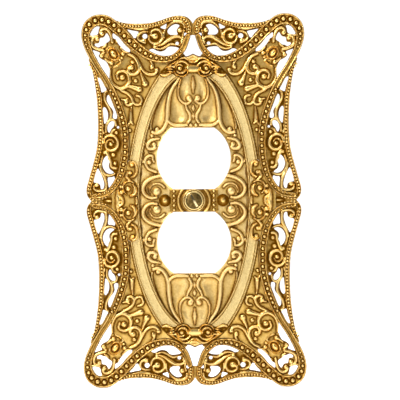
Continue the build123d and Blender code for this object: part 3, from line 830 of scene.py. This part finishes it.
def corner_shape(points):
    """Front of a cartouche: the domed stone and its ring over the worked ground."""
    front, patina = corner_worked(points)
    stone, ring = stone_gap(points, STONE_AXES), stone_gap(points, RING_AXES)
    inside = ring < RING_REACH
    lift = STONE_RISE * np.sqrt(np.maximum(1 - stone**2, 0))
    lift = np.maximum(lift, RING_RISE * ridge(ring, 0.9, 0.14))
    front = np.where(inside, np.maximum(front - 0.2, cushion(points) - 0.35 + lift), front)
    patina = np.where(inside, np.clip(0.9 - lift / 0.7, 0, 1), patina)
    return front, patina


corner_outline = np.vstack([
    [p[:2] for p in RAIL[5:17]], [(39.6, 58.5), (39.4, 61.6)], smooth_line(CARTOUCHE_EDGE)[::-1],
])
corner_field = np.minimum(inside_polygon(grid, corner_outline), -rail_field)
corner_field = pierced_field(corner_field, CORNER_PIERCINGS)
cast_quarters("corner_cartouche", cut_sheet(corner_field), corner_shape, hollow_back)

# --- Straps ------------------------------------------------------------------------------------------
# Two plain curved bands frame the receptacle panel, cast with the plate. Their fields are stippled and
# fine raised lines run along each edge.
STRAP_OUTER, STRAP_INNER = (30.8, 67.5), (25.3, 59.1)
STRAP_TOP = 58.6
STRAP_RISE, STRAP_LINE_RISE, STRAP_GROOVE_DEPTH = 0.35, 0.35, 0.3
CROWN_OUTLINE = [
    (0, 68.0), (2.4, 66.9), (4.6, 66.5), (8.0, 64.3), (11.5, 62.7), (13.4, 61.3), (12.9, 60.3),
    (15.4, 58.8), (15.1, 57.4), (13.0, 56.9), (11.0, 58.0), (9.2, 58.4), (8.0, 57.5), (5.6, 56.9),
    (3.2, 57.4), (1.8, 58.7), (0, 59.0),
]
crown_line = np.vstack([smooth_line(CROWN_OUTLINE), [(-1.0, 59.0), (-1.0, 68.0)]])
crown_field = inside_polygon(grid, crown_line)


def oval_field(points, axes):
    """Distance inside an upright oval, near enough for cutting sheets along its edge."""
    gap = np.maximum(np.hypot(points[:, 0] / axes[0], points[:, 1] / axes[1]), 1e-6)
    slope = np.hypot(points[:, 0] / axes[0] ** 2, points[:, 1] / axes[1] ** 2) / gap
    return (1 - gap) / np.maximum(slope, 1e-3)


def strap_shape(points):
    """Front of a strap: two fine raised lines along each edge with a brown groove between them."""
    edge = np.minimum(oval_field(points, STRAP_OUTER), -oval_field(points, STRAP_INNER))
    line = ridge(edge, 0.5, 0.2) + 0.7 * ridge(edge, 1.3, 0.2)
    groove = ridge(edge, 0.9, 0.18)
    relief = STRAP_RISE + STRAP_LINE_RISE * line - STRAP_GROOVE_DEPTH * groove
    patina = 0.08 + 0.65 * groove + np.clip(1.3 - edge / 0.25, 0, 1)
    return cushion(points) + relief, np.clip(patina, 0, 1)


strap_field = np.minimum(oval_field(grid, STRAP_OUTER), -oval_field(grid, STRAP_INNER))
strap_field = np.minimum.reduce([strap_field, -crown_field, -ornament_field, -rail_field])
strap_field[grid[:, 1] > STRAP_TOP] = -1
strap_sheet = cut_sheet(strap_field)
stippled = metal("stippled_gold", (0.80, 0.645, 0.32), (0.20, 0.08, 0.003), 0.7, 0.8)
for side, sign in (("right", 1), ("left", -1)):
    strap = cast_piece(
        f"strap_{side}", mirrored_sheet(strap_sheet, [(sign, 1), (sign, -1)]), strap_shape,
        hollow_back, stippled,
    )
    join_casting(strap, f"strap_{side}")

# --- Corner panels -----------------------------------------------------------------------------------
# Between strap, rail and cartouche the plate is a dished field with running scrolls and hanging buds,
# cast with the rest.
PANEL_FREE_EDGE = [(38.6, 61.6), (38.6, 59.5), (38.8, 57.0), (39.2, 55.6)]
PANEL_STROKES = [
    ([(31.5, 69.3), (29.8, 68.0), (27.5, 66.9), (26.0, 65.0), (25.0, 62.5), (25.1, 60.5),
      (26.0, 59.2), (27.7, 58.5), (29.3, 59.0), (30.0, 60.3), (29.7, 61.6)], (0.6, 0.7, 0.6), 1.2),
    ([(26.0, 66.0), (24.5, 63.0), (23.5, 60.8), (22.0, 59.2), (20.0, 58.4), (18.0, 58.6),
      (16.9, 59.6)], (0.4, 0.6, 0.6), 1.1),
    ([(38.4, 60.8), (38.4, 57.4), (37.2, 54.2), (35.0, 52.4), (33.0, 52.1), (31.0, 53.0),
      (29.6, 55.0), (29.7, 57.3), (30.6, 59.2), (32.4, 60.1), (34.3, 59.7), (35.3, 58.2), (34.8, 56.5)],
     (0.5, 0.75, 0.45), 1.2),
    ([(35.0, 52.8), (33.0, 51.0), (30.5, 49.8), (28.7, 48.0), (28.0, 45.8), (28.6, 44.7),
      (30.0, 44.2), (31.2, 44.7)], (0.5, 0.6, 0.5), 1.1),
    ([(28.0, 46.2), (27.0, 44.8), (25.6, 44.4), (24.2, 44.7)], (0.4, 0.5, 0.4), 0.9),
    ([(32.4, 52.8), (30.0, 53.0), (27.4, 52.4), (25.2, 51.6)], (0.3, 0.7, 1.0), 1.2),
    ([(24.4, 60.0), (23.8, 58.0), (22.9, 55.9), (22.3, 54.4)], (0.2, 0.6, 1.0), 1.2),
    ([(28.6, 43.4), (28.9, 40.4), (29.0, 36.9)], (0.2, 0.6, 0.8), 1.1),
    ([(24.4, 44.9), (23.8, 46.6), (24.6, 48.2), (26.2, 48.6)], (0.4, 0.5, 0.4), 0.9),
    ([(21.2, 66.4), (19.6, 64.9), (18.8, 63.0), (19.4, 61.4)], (0.3, 0.5, 0.5), 0.9),
    ([(30.6, 34.6), (29.4, 36.2), (28.0, 35.6)], (0.3, 0.4, 0.3), 0.8),
    ([(33.2, 47.0), (31.6, 46.8), (30.2, 47.4)], (0.3, 0.4, 0.3), 0.8),
]
PANEL_BALLS = [
    (28.6, 61.8, 1.0, 1.5), (16.8, 60.5, 0.8, 1.2), (32.8, 57.2, 1.0, 1.5), (31.1, 46.0, 0.9, 1.3),
    (25.0, 51.6, 1.1, 1.4), (22.2, 54.2, 1.1, 1.4), (29.0, 36.8, 0.8, 1.2), (19.0, 62.1, 0.8, 1.0),
    (28.0, 64.2, 0.7, 1.0), (26.6, 55.6, 0.7, 0.9), (29.4, 32.6, 0.6, 0.8),
]
DISH_DEPTH, DISH_SLOPE = 0.35, 2.5
panel_worked = worked_shape(PANEL_STROKES, PANEL_BALLS, ground=0.5, tone=0.3, broad=1.3)


def panel_shape(points):
    """Front of a corner panel: its worked ground, dished and with a brown line beside the strap."""
    front, patina = panel_worked(points)
    shore = -oval_field(points, STRAP_OUTER)
    dish = DISH_DEPTH * np.clip(shore / DISH_SLOPE, 0, 1)
    return front - dish, np.clip(patina + 0.6 * (shore < 0.5), 0, 1)


panel_outline = np.array([
    *smooth_line(CARTOUCHE_EDGE), *PANEL_FREE_EDGE[1:], *[p[:2] for p in RAIL[16:23]],
    (30.0, 12.0), (24.0, 36.0), (12.0, 58.0), (2.0, 65.0), (3.6, 67.2), (5.2, 69.0),
    *[p[:2] for p in RAIL[2:6]],
])
panel_field = np.minimum(inside_polygon(grid, panel_outline), -rail_field)
strap_oval = oval_field(grid, STRAP_OUTER).copy()
strap_oval[(grid[:, 1] > STRAP_TOP) & (oval_field(grid, STRAP_INNER) < 0)] = -1
panel_field = np.minimum.reduce([panel_field, -strap_oval, -crown_field, -ornament_field])
cast_quarters("corner_panel", cut_sheet(panel_field), panel_shape, hollow_back)

# --- Crowns ------------------------------------------------------------------------------------------
# A shell between two volutes with leaf wings stands proud above and below the receptacle panel, the
# highest ornament of the casting.
CROWN_STROKES = [
    ([(0, 63.9), (1.2, 64.1), (2.4, 65.1), (3.8, 65.9), (5.6, 65.8), (7.4, 64.8), (9.4, 63.3),
      (11.0, 62.3), (12.6, 61.4)], (0.5, 0.6, 0.35), 1.7),
    ([(0, 66.8), (1.6, 66.3), (3.0, 65.9)], (0.8, 0.7, 0.4), 1.6),
    ([(0, 65.3), (1.2, 65.5), (2.4, 65.9)], (1.0, 0.9, 0.4), 1.5),
    ([(0, 61.0), (1.2, 61.0), (2.0, 60.9)], (2.1, 2.1, 1.8), 0.7),
    ([(2.2, 62.6), (3.4, 63.8), (5.0, 64.3), (6.8, 64.0), (8.2, 62.8), (8.8, 61.4)],
     (0.5, 0.7, 0.4), 1.3),
    ([(2.3, 60.4), (2.6, 59.0), (3.6, 57.9), (5.2, 57.5), (6.8, 57.8), (8.2, 58.7), (8.9, 60.0)],
     (0.35, 0.4, 0.3), 1.5),
    ([(3.4, 61.6), (3.7, 60.0), (4.8, 59.1), (6.4, 59.0), (7.6, 59.9)], (0.3, 0.8, 0.3), 2.0),
    ([(7.9, 60.8), (7.5, 62.3), (6.0, 62.9), (4.9, 62.2)], (0.3, 0.5, 0.4), 1.1),
    ([(9.0, 62.0), (10.4, 61.9), (12.0, 61.1)], (0.4, 0.6, 0.2), 1.5),
    ([(9.4, 60.6), (10.6, 60.9), (12.0, 60.5)], (0.3, 0.5, 0.2), 1.2),
    ([(9.4, 59.4), (10.6, 59.8), (12.0, 59.6)], (0.3, 0.5, 0.2), 1.2),
    ([(10.6, 58.9), (12.0, 58.2), (13.6, 57.9), (14.8, 58.3)], (0.5, 0.8, 0.5), 1.4),
]
CROWN_BALLS = [(6.1, 61.0, 1.0, 0.9)]
crown_worked = worked_shape(CROWN_STROKES, CROWN_BALLS, ground=-0.3, tone=0.6)
crown_sheet = cut_sheet(crown_field)
for name, sign in (("crown_top", 1), ("crown_bottom", -1)):
    both_sides = mirrored_sheet(crown_sheet, [(1, sign), (-1, sign)])
    join_casting(cast_piece(name, both_sides, crown_worked, hollow_back), name)

# --- Side ornaments ----------------------------------------------------------------------------------
# A shell with a volute and a leaf hook above and below it binds strap and rail together at each side.
ORNAMENT_STROKES = [
    ([(29.3, 17.4), (28.4, 18.1), (27.1, 17.5), (26.4, 15.6), (26.5, 13.2), (27.5, 11.6),
      (28.8, 10.9)], (0.5, 0.7, 0.5), 1.6),
    ([(30.5, 13.4), (31.0, 11.2), (29.6, 9.6)], (0.4, 0.7, 0.5), 1.2),
    ([(27.6, 8.2), (29.4, 9.2), (31.4, 8.7), (32.7, 7.0), (32.6, 4.8), (31.4, 3.3)],
     (0.3, 0.45, 0.3), 1.3),
    ([(28.2, 7.6), (27.3, 6.3), (27.1, 4.6), (27.7, 3.1), (29.1, 2.3)], (0.4, 1.1, 0.5), 1.9),
    ([(35.4, 4.6), (34.8, 2.6), (33.2, 1.3), (33.0, 0)], (0.5, 0.7, 0.7), 1.4),
    ([(34.9, 5.2), (35.4, 2.6), (34.9, 0.0)], (0.3, 0.8, 1.3), 1.6),
    ([(26.6, 1.4), (26.4, 0.0)], (0.5, 0.6, 0.6), 1.2),
]
ORNAMENT_BALLS = [
    (28.6, 16.6, 0.9, 1.6), (30.4, 5.6, 1.1, 1.4), (33.6, 4.0, 1.0, 1.5), (33.8, 6.6, 0.7, 1.5),
    (29.4, 13.0, 0.8, 1.1),
]
ornament_worked = worked_shape(ORNAMENT_STROKES, ORNAMENT_BALLS, ground=-0.2, tone=0.25, broad=1.1)
ornament_sheet = cut_sheet(ornament_field)
for name, sign in (("side_ornament_right", 1), ("side_ornament_left", -1)):
    both_ends = mirrored_sheet(ornament_sheet, [(sign, 1), (sign, -1)])
    join_casting(cast_piece(name, both_ends, ornament_worked, hollow_back), name)

# --- Receptacle panel --------------------------------------------------------------------------------
# The oval panel with its two device openings has ribs, hollow flutes and scrolls that fan out from the
# openings, all cast in it. A thin lip runs round each opening.
OUTLET_RADIUS, OUTLET_HALF_HEIGHT, OUTLET_CENTRE = 17.1, 14.2, 19.45
BRIDGE_HALF_LENGTH, BRIDGE_HALF_HEIGHT = 11.3, 5.25
KNOB_X, KNOB_PAD = 13.4, 2.9
RIB_STROKES = [
    ([(6.5, 57.0), (7.5, 55.0), (9.0, 53.0), (10.3, 50.5), (11.1, 48.0), (11.6, 45.0), (11.9, 42.0),
      (12.0, 39.0), (12.3, 37.0), (12.9, 35.0), (13.9, 33.3), (15.2, 32.0), (17.0, 31.2),
      (19.0, 31.7)], (0.5, 0.8, 0.6), 1.3),
    ([(12.0, 37.5), (11.3, 36.5), (10.3, 35.6), (9.0, 35.0), (7.0, 34.8), (3.0, 34.9)],
     (0.5, 0.6, 0.5), 1.1),
    ([(5.6, 56.4), (6.4, 53.8), (6.9, 51.0), (6.8, 48.4), (5.9, 46.4), (4.6, 45.2), (3.2, 44.8),
      (1.8, 45.3), (1.0, 46.4)], (0.25, 0.4, 0.5), 1.3),
    ([(3.4, 43.8), (2.8, 42.0), (2.0, 40.8), (1.5, 39.5), (1.6, 37.6), (2.5, 36.1)],
     (0.4, 0.6, 0.5), 1.1),
    ([(0, 57.5), (0, 53.4), (0, 49.6)], (0.2, 0.75, 0.2), 1.3),
    ([(0, 43.6), (0, 42.4), (0, 41.6)], (0.4, 0.7, 0.3), 1.0),
    ([(0, 40.0), (0, 38.8), (0, 38.0)], (0.3, 0.6, 0.3), 0.9),
    ([(9.6, 55.3), (13.2, 51.0), (16.3, 45.6), (18.4, 40.4), (19.7, 35.4), (19.6, 33.2)],
     (0.2, 0.3, 0.3), 0.6),
    ([(16.0, 28.8), (18.0, 28.4), (19.8, 27.9), (21.0, 26.6), (21.3, 25.0), (20.3, 24.0),
      (18.8, 24.0), (17.7, 24.7)], (0.4, 0.7, 0.6), 1.2),
    ([(18.4, 18.0), (18.9, 19.2), (19.0, 20.7), (20.5, 20.8), (22.0, 19.8), (22.5, 18.3),
      (22.0, 16.5), (20.8, 14.8), (19.0, 13.9), (17.4, 13.3)], (0.4, 0.6, 0.5), 1.2),
    ([(11.6, 10.4), (14.0, 11.3), (17.0, 11.2), (20.4, 10.0), (22.8, 8.0), (23.6, 5.6),
      (23.0, 3.4), (21.4, 1.9), (19.4, 1.2), (17.2, 1.5)], (0.5, 0.8, 0.5), 1.5),
    ([(20.2, 3.6), (20.4, 5.4), (19.2, 7.2), (17.2, 7.9), (15.2, 7.5), (13.7, 6.2)],
     (0.2, 0.35, 0.4), 0.8),
    ([(23.0, 29.6), (22.6, 27.0), (23.2, 24.6)], (0.3, 0.5, 0.3), 0.8),
    ([(23.4, 22.4), (24.0, 20.2), (23.6, 17.8)], (0.3, 0.4, 0.3), 0.8),
]
RIB_BALLS = [
    (2.0, 47.3, 1.0, 1.5), (1.2, 34.9, 0.6, 0.9), (17.2, 4.2, 1.4, 1.6), (16.8, 32.9, 0.8, 1.0),
    (18.2, 26.0, 0.8, 1.1), (20.6, 17.8, 0.8, 1.2), (19.2, 30.0, 0.6, 0.9),
]
# Hollow flutes: a smooth line's points, half width (start, middle, end) and depth.
FLUTES = [
    ([(9.2, 55.4), (12.4, 51.0), (14.6, 46.0), (16.0, 41.0), (16.8, 36.6), (17.0, 33.8)],
     (0.8, 2.6, 2.8), 1.0),
    ([(8.9, 50.8), (9.0, 46.5), (8.2, 42.4), (7.3, 39.0)], (0.8, 2.7, 3.2), 1.1),
    ([(19.6, 8.8), (21.4, 7.2), (21.9, 5.4), (21.4, 3.6), (20.2, 2.4)], (0.5, 0.9, 0.5), 0.8),
    ([(3.4, 53.8), (4.2, 50.6), (4.3, 48.0)], (0.8, 1.8, 1.2), 0.5),
    ([(19.0, 51.2), (21.6, 46.0), (23.8, 40.0)], (0.4, 0.6, 0.6), 0.5),
    ([(24.0, 16.0), (24.6, 12.6), (24.8, 9.2)], (0.3, 0.8, 0.4), 0.6),
    ([(24.8, 4.0), (24.9, 0.0)], (0.4, 0.6, 0.6), 0.6),
    ([(20.2, 12.6), (18.4, 12.2), (17.0, 12.0)], (0.5, 0.7, 0.5), 0.8),
    ([(20.4, 22.6), (18.6, 22.2)], (0.8, 0.8, 0.5), 0.8),
]


def outlet_field(points):
    """Distance inside the device opening: a circle with its top and bottom cut flat."""
    z = points[:, 1] - OUTLET_CENTRE
    return np.minimum(OUTLET_RADIUS - np.hypot(points[:, 0], z), OUTLET_HALF_HEIGHT - np.abs(z))


def bridge_field(points):
    """Distance inside the bridge: its bar, and the round pad of the knob at each end."""
    bar = np.minimum(BRIDGE_HALF_LENGTH - points[:, 0], BRIDGE_HALF_HEIGHT - points[:, 1])
    pad = KNOB_PAD - np.hypot(points[:, 0] - KNOB_X, points[:, 1])
    return np.maximum(bar, pad)


OVAL_GROUND, LIP_RISE = 0.35, 0.35
oval_worked = worked_shape(RIB_STROKES, RIB_BALLS, ground=OVAL_GROUND, tone=0.12, broad=1.35)


def oval_shape(points):
    """Front of the receptacle panel: ribs, hollow flutes, a lip round each opening, a brown border."""
    front, patina = oval_worked(points)
    sunk = np.zeros(len(points))
    for line, widths, depth in FLUTES:
        gap, along = nearest_on_line(points, smooth_line(line))
        half = np.interp(along, (0, 0.5, 1), widths)
        share = np.clip(gap / half, 0, 1)
        sunk = np.maximum(sunk, depth * half / max(widths) * (1 - share**2))
    bare = 1 - np.clip((front - cushion(points) + OVAL_GROUND) / 0.4, 0, 1)
    lip = ridge(outlet_field(points), 0, 0.45)
    front = front - sunk * bare + LIP_RISE * lip * bare
    border = ridge(oval_field(points, STRAP_INNER), 0, 0.35)
    return front, np.clip(patina + 0.15 * sunk * bare + 0.7 * border - 0.3 * lip, 0, 1)


oval_panel_field = np.minimum.reduce([
    oval_field(grid, STRAP_INNER), -crown_field, -ornament_field, -outlet_field(grid),
    -bridge_field(grid),
])
satin = metal("satin_gold", (0.90, 0.68, 0.30), (0.16, 0.062, 0.002), 0.5, 0.3)
oval_sheet = mirrored_sheet(cut_sheet(oval_panel_field), list(QUARTERS.values()))
join_casting(cast_piece("oval_panel", oval_sheet, oval_shape, hollow_back, satin), "oval_panel")

# --- Screw bridge ------------------------------------------------------------------------------------
# The bar between the two openings carries the screw. A raised ring surrounds the cup, a column of five
# beads stands on each side of it and a domed knob closes each end. It is cast with the plate.
BRIDGE_FRONT, BRIDGE_BACK = 6.4, 4.0
SCREW_HOLE = 1.95
COUNTERBORE_RADIUS, COUNTERBORE_HEIGHT = 2.7, 5.4
KNOB_RADIUS, KNOB_RISE = 2.5, 1.9
COLUMN_X, COLUMN_BEAD, COLUMN_HEIGHTS = 9.2, 0.6, (-4.3, -2.2, 0.0, 2.2, 4.3)
# The raised ring round the cup: radius, height above the wall, and radius and wash.
BOSS_PROFILE = [
    (0, COUNTERBORE_HEIGHT), (COUNTERBORE_RADIUS, COUNTERBORE_HEIGHT), (2.9, 7.2), (5.2, 7.2),
    (5.7, 6.5), (6.4, 6.5), (6.9, 7.5), (7.3, 7.7), (7.7, 7.3), (8.1, BRIDGE_FRONT),
]
BOSS_WASH = [
    (0, 0.8), (5.0, 0.6), (5.5, 0.7), (6.5, 0.9), (7.0, 0.2), (7.5, 0.2), (8.0, 1.0), (8.6, 0.7),
]


def bridge_shape(points):
    """Front of the bridge: the stepped boss, a domed knob, brown with a painted highlight on its top,
    and a rim along the bar.
    """
    radius = np.hypot(points[:, 0], points[:, 1])
    front = np.interp(radius, *zip(*BOSS_PROFILE))
    patina = np.interp(radius, *zip(*BOSS_WASH))
    knob_gap = np.hypot(points[:, 0] - KNOB_X, points[:, 1])
    front += KNOB_RISE * np.clip(1 - (knob_gap / KNOB_RADIUS) ** 2, 0, 1) ** 0.7
    # The knob is brown patina towards its edge, with a painted highlight, a bright spot, on its top.
    knob_patina_and_highlight = np.interp(knob_gap, (0, 0.5, 1.1, 2.6), (0, 0, 0.8, 1))
    patina = np.where(knob_gap < KNOB_PAD, knob_patina_and_highlight, patina)
    for z in COLUMN_HEIGHTS:
        patina = np.maximum(patina, 0.9 * (dome(points, COLUMN_X, z, 1.6 * COLUMN_BEAD) > 0))
    rim = ridge(points[:, 1], BRIDGE_HALF_HEIGHT, 0.45) * (radius > 7.7)
    return front + 0.3 * rim, np.clip(patina - 0.4 * rim, 0, 1)


def bridge_back(points):
    return np.full(len(points), BRIDGE_BACK)


hole_gap = np.hypot(grid[:, 0], grid[:, 1]) - SCREW_HOLE
bridge_sheet = cut_sheet(np.minimum(bridge_field(grid), hole_gap))
bridge_sheet = mirrored_sheet(bridge_sheet, list(QUARTERS.values()))
join_casting(cast_piece("screw_bridge", bridge_sheet, bridge_shape, bridge_back), "screw_bridge")
column_places = [
    on_front(COLUMN_X, z, BRIDGE_FRONT + 0.15, (side, 1)) for side in (-1, 1) for z in COLUMN_HEIGHTS
]
column_radii = [COLUMN_BEAD * MM] * len(column_places)
join_casting(grow_beads("bridge_beads", column_places, column_radii))

# --- Cup ring ----------------------------------------------------------------------------------------
# The screw head sits in a turned cup with a rolled lip, a groove and a stepped edge. It is plated brass,
# brighter than the casting, and drops loose into the counterbore of the bridge.
CUP_TURNS = 96
# Radius, height above the wall and patina, from the lip outwards and back through the bore.
CUP_PROFILE = [
    (3.7, 8.02, 0.1), (3.8, 8.08, 0), (4.0, 8.1, 0), (4.2, 8.04, 0), (4.36, 7.86, 0.1),
    (4.44, 7.66, 0.8), (4.52, 7.56, 1), (4.62, 7.52, 1), (4.74, 7.56, 0.8), (4.84, 7.66, 0.1),
    (4.96, 7.68, 0), (5.08, 7.62, 0.1), (5.15, 7.46, 0.6), (5.15, 7.2, 1), (2.75, 7.2, 1),
    (2.75, 6.12, 1), (1.98, 6.12, 1),
]


def spun(radius, height, closed):
    """Vertices and outward triangles of a solid turned about the screw's axis.

    Each row of radii is a ring at one height. The rings close on themselves, or end in two flat caps.
    """
    count, turns = radius.shape
    angle = np.linspace(0, 2 * math.pi, turns, endpoint=False)
    vertices = np.stack(
        [radius * np.cos(angle), np.repeat(-height[:, None], turns, 1), radius * np.sin(angle)], -1
    ).reshape(-1, 3)
    i, j = np.meshgrid(np.arange(count if closed else count - 1), np.arange(turns), indexing="ij")
    after = (j + 1) % turns
    a, b = i * turns + j, i * turns + after
    c, d = (i + 1) % count * turns + after, (i + 1) % count * turns + j
    faces = [np.stack([a, b, c], -1).reshape(-1, 3), np.stack([a, c, d], -1).reshape(-1, 3)]
    if not closed:
        rim, top, last = np.arange(turns), len(vertices), (count - 1) * turns
        vertices = np.vstack([vertices, [(0, -height[0], 0), (0, -height[-1], 0)]])
        faces.append(np.stack([np.roll(rim, -1), rim, rim * 0 + top], -1))
        faces.append(np.stack([rim, np.roll(rim, -1), rim * 0 + top + 1 - last], -1) + last)
    faces = np.vstack(faces)
    corners = vertices[faces]
    volume = np.sum(corners[:, 0] * np.cross(corners[:, 1], corners[:, 2]))
    return vertices, faces if volume > 0 else faces[:, ::-1]


polished = metal("polished_gold", (0.86, 0.66, 0.28), (0.22, 0.09, 0.01), 0.28, -0.09)
cup_radius, cup_height, cup_patina = np.array(CUP_PROFILE).T
cup_vertices, cup_faces = spun(np.repeat(cup_radius[:, None], CUP_TURNS, 1), cup_height, True)
cup = add_piece("turned_cup_ring", cup_vertices * MM, cup_faces, polished)
with_patina(cup, np.repeat(cup_patina, CUP_TURNS))
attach(cup, "cup")
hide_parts("cup_ring")

# --- Mounting screw ----------------------------------------------------------------------------------
# A 6-32 oval head screw with one straight slot holds the plate to the receptacle. It is steel with a
# bronzed finish: a domed head, a countersunk underside, a plain neck and a rolled thread.
HEAD_RADIUS, HEAD_SEAT, HEAD_RIM, HEAD_TOP = 3.55, 8.05, 8.2, 9.35
SLOT_HALF, SLOT_FLOOR, SLOT_LEAN = 0.475, 8.45, math.radians(-62)
NECK_RADIUS, NECK_START, NECK_END = 1.4, 5.577, 3.45
THREAD_RADIUS, THREAD_DEPTH, THREAD_PITCH = 1.753, 0.4, 25.4 / 32
SCREW_TIP, TIP_TAPER, SCREW_TURNS = -7.8, 0.7, 64
STEPS_PER_PITCH, THREAD_FADE = 10, 0.6
# The slot floor is painted bright as a highlight. The rest of the screw is painted dark, partly its
# bronzing and partly painted shade for the dark room it reflects.
SLOT_PAINTED_HIGHLIGHT, SCREW_BRONZING_AND_SHADE = 0.0, 0.85

dome_share = np.linspace(0.08, 1, 14)
thread_rows = np.arange(NECK_END - 0.05, SCREW_TIP, -THREAD_PITCH / STEPS_PER_PITCH)
screw_height = np.concatenate([
    HEAD_RIM + (HEAD_TOP - HEAD_RIM) * (1 - dome_share**2), [HEAD_SEAT, NECK_START, NECK_END],
    thread_rows, [SCREW_TIP],
])
blank_radius = np.concatenate([
    HEAD_RADIUS * dome_share, [HEAD_RADIUS, NECK_RADIUS, NECK_RADIUS],
    np.full(len(thread_rows) + 1, THREAD_RADIUS),
])
turn_share = np.arange(SCREW_TURNS) / SCREW_TURNS
thread_phase = (screw_height[:, None] / THREAD_PITCH + turn_share) % 1
groove = THREAD_DEPTH * np.clip(2.4 * np.abs(thread_phase - 0.5) - 0.1, 0, 1)
groove *= np.clip((NECK_END - screw_height) / THREAD_FADE, 0, 1)[:, None]
# The thread starts in a cone from the neck and ends in a cone at the tip.
start_cone = NECK_RADIUS + NECK_END - screw_height
tip_cone = THREAD_RADIUS + screw_height - SCREW_TIP - TIP_TAPER
end_limit = np.minimum(start_cone, tip_cone)
end_limit[: len(dome_share) + 3] = HEAD_RADIUS
screw_radius = np.minimum(blank_radius[:, None] - groove, end_limit[:, None])
screw_vertices, screw_faces = spun(screw_radius, screw_height, False)
bronzed = metal("bronzed_steel", (0.80, 0.64, 0.34), (0.11, 0.07, 0.02), 0.16, -0.09)
screw_blank = add_piece("screw_blank", screw_vertices * MM, screw_faces, bronzed)

slot_corners = np.array([
    (x, -height, z) for x in (-4, 4) for height in (SLOT_FLOOR, 10) for z in (-SLOT_HALF, SLOT_HALF)
])
turn_x = slot_corners[:, 0] * math.cos(SLOT_LEAN) - slot_corners[:, 2] * math.sin(SLOT_LEAN)
turn_z = slot_corners[:, 0] * math.sin(SLOT_LEAN) + slot_corners[:, 2] * math.cos(SLOT_LEAN)
slot_corners[:, 0], slot_corners[:, 2] = turn_x, turn_z
slot_quads = [(0, 1, 3, 2), (4, 6, 7, 5), (0, 4, 5, 1), (2, 3, 7, 6), (0, 2, 6, 4), (1, 5, 7, 3)]
slot_faces = np.array([t for a, b, c, d in slot_quads for t in ((a, b, c), (a, c, d))])
slot_solid = slot_corners[slot_faces]
if np.sum(slot_solid[:, 0] * np.cross(slot_solid[:, 1], slot_solid[:, 2])) < 0:
    slot_faces = slot_faces[:, ::-1]
slot_cutter = add_piece("slot_cutter", slot_corners * MM, slot_faces, bronzed)
cut = screw_blank.modifiers.new("slot", "BOOLEAN")
cut.object, cut.operation, cut.solver = slot_cutter, "DIFFERENCE", "EXACT"
screw_mesh = bpy.data.meshes.new_from_object(
    screw_blank.evaluated_get(bpy.context.evaluated_depsgraph_get())
)
screw_mesh.name = "slotted_screw"
screw_mesh.set_sharp_from_angle(angle=math.radians(38))
bpy.data.objects.remove(slot_cutter)
bpy.data.objects.remove(screw_blank)
screw = bpy.data.objects.new("slotted_screw", screw_mesh)
scene.collection.objects.link(screw)
# Painted highlight on the slot floor; bronzing with painted shade on the rest of the screw.
in_slot = [abs(vertex.co.y / MM + SLOT_FLOOR) < 0.01 for vertex in screw_mesh.vertices]
with_patina(screw, np.where(in_slot, SLOT_PAINTED_HIGHLIGHT, SCREW_BRONZING_AND_SHADE))
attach(screw, "screw")
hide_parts("mounting_screw")
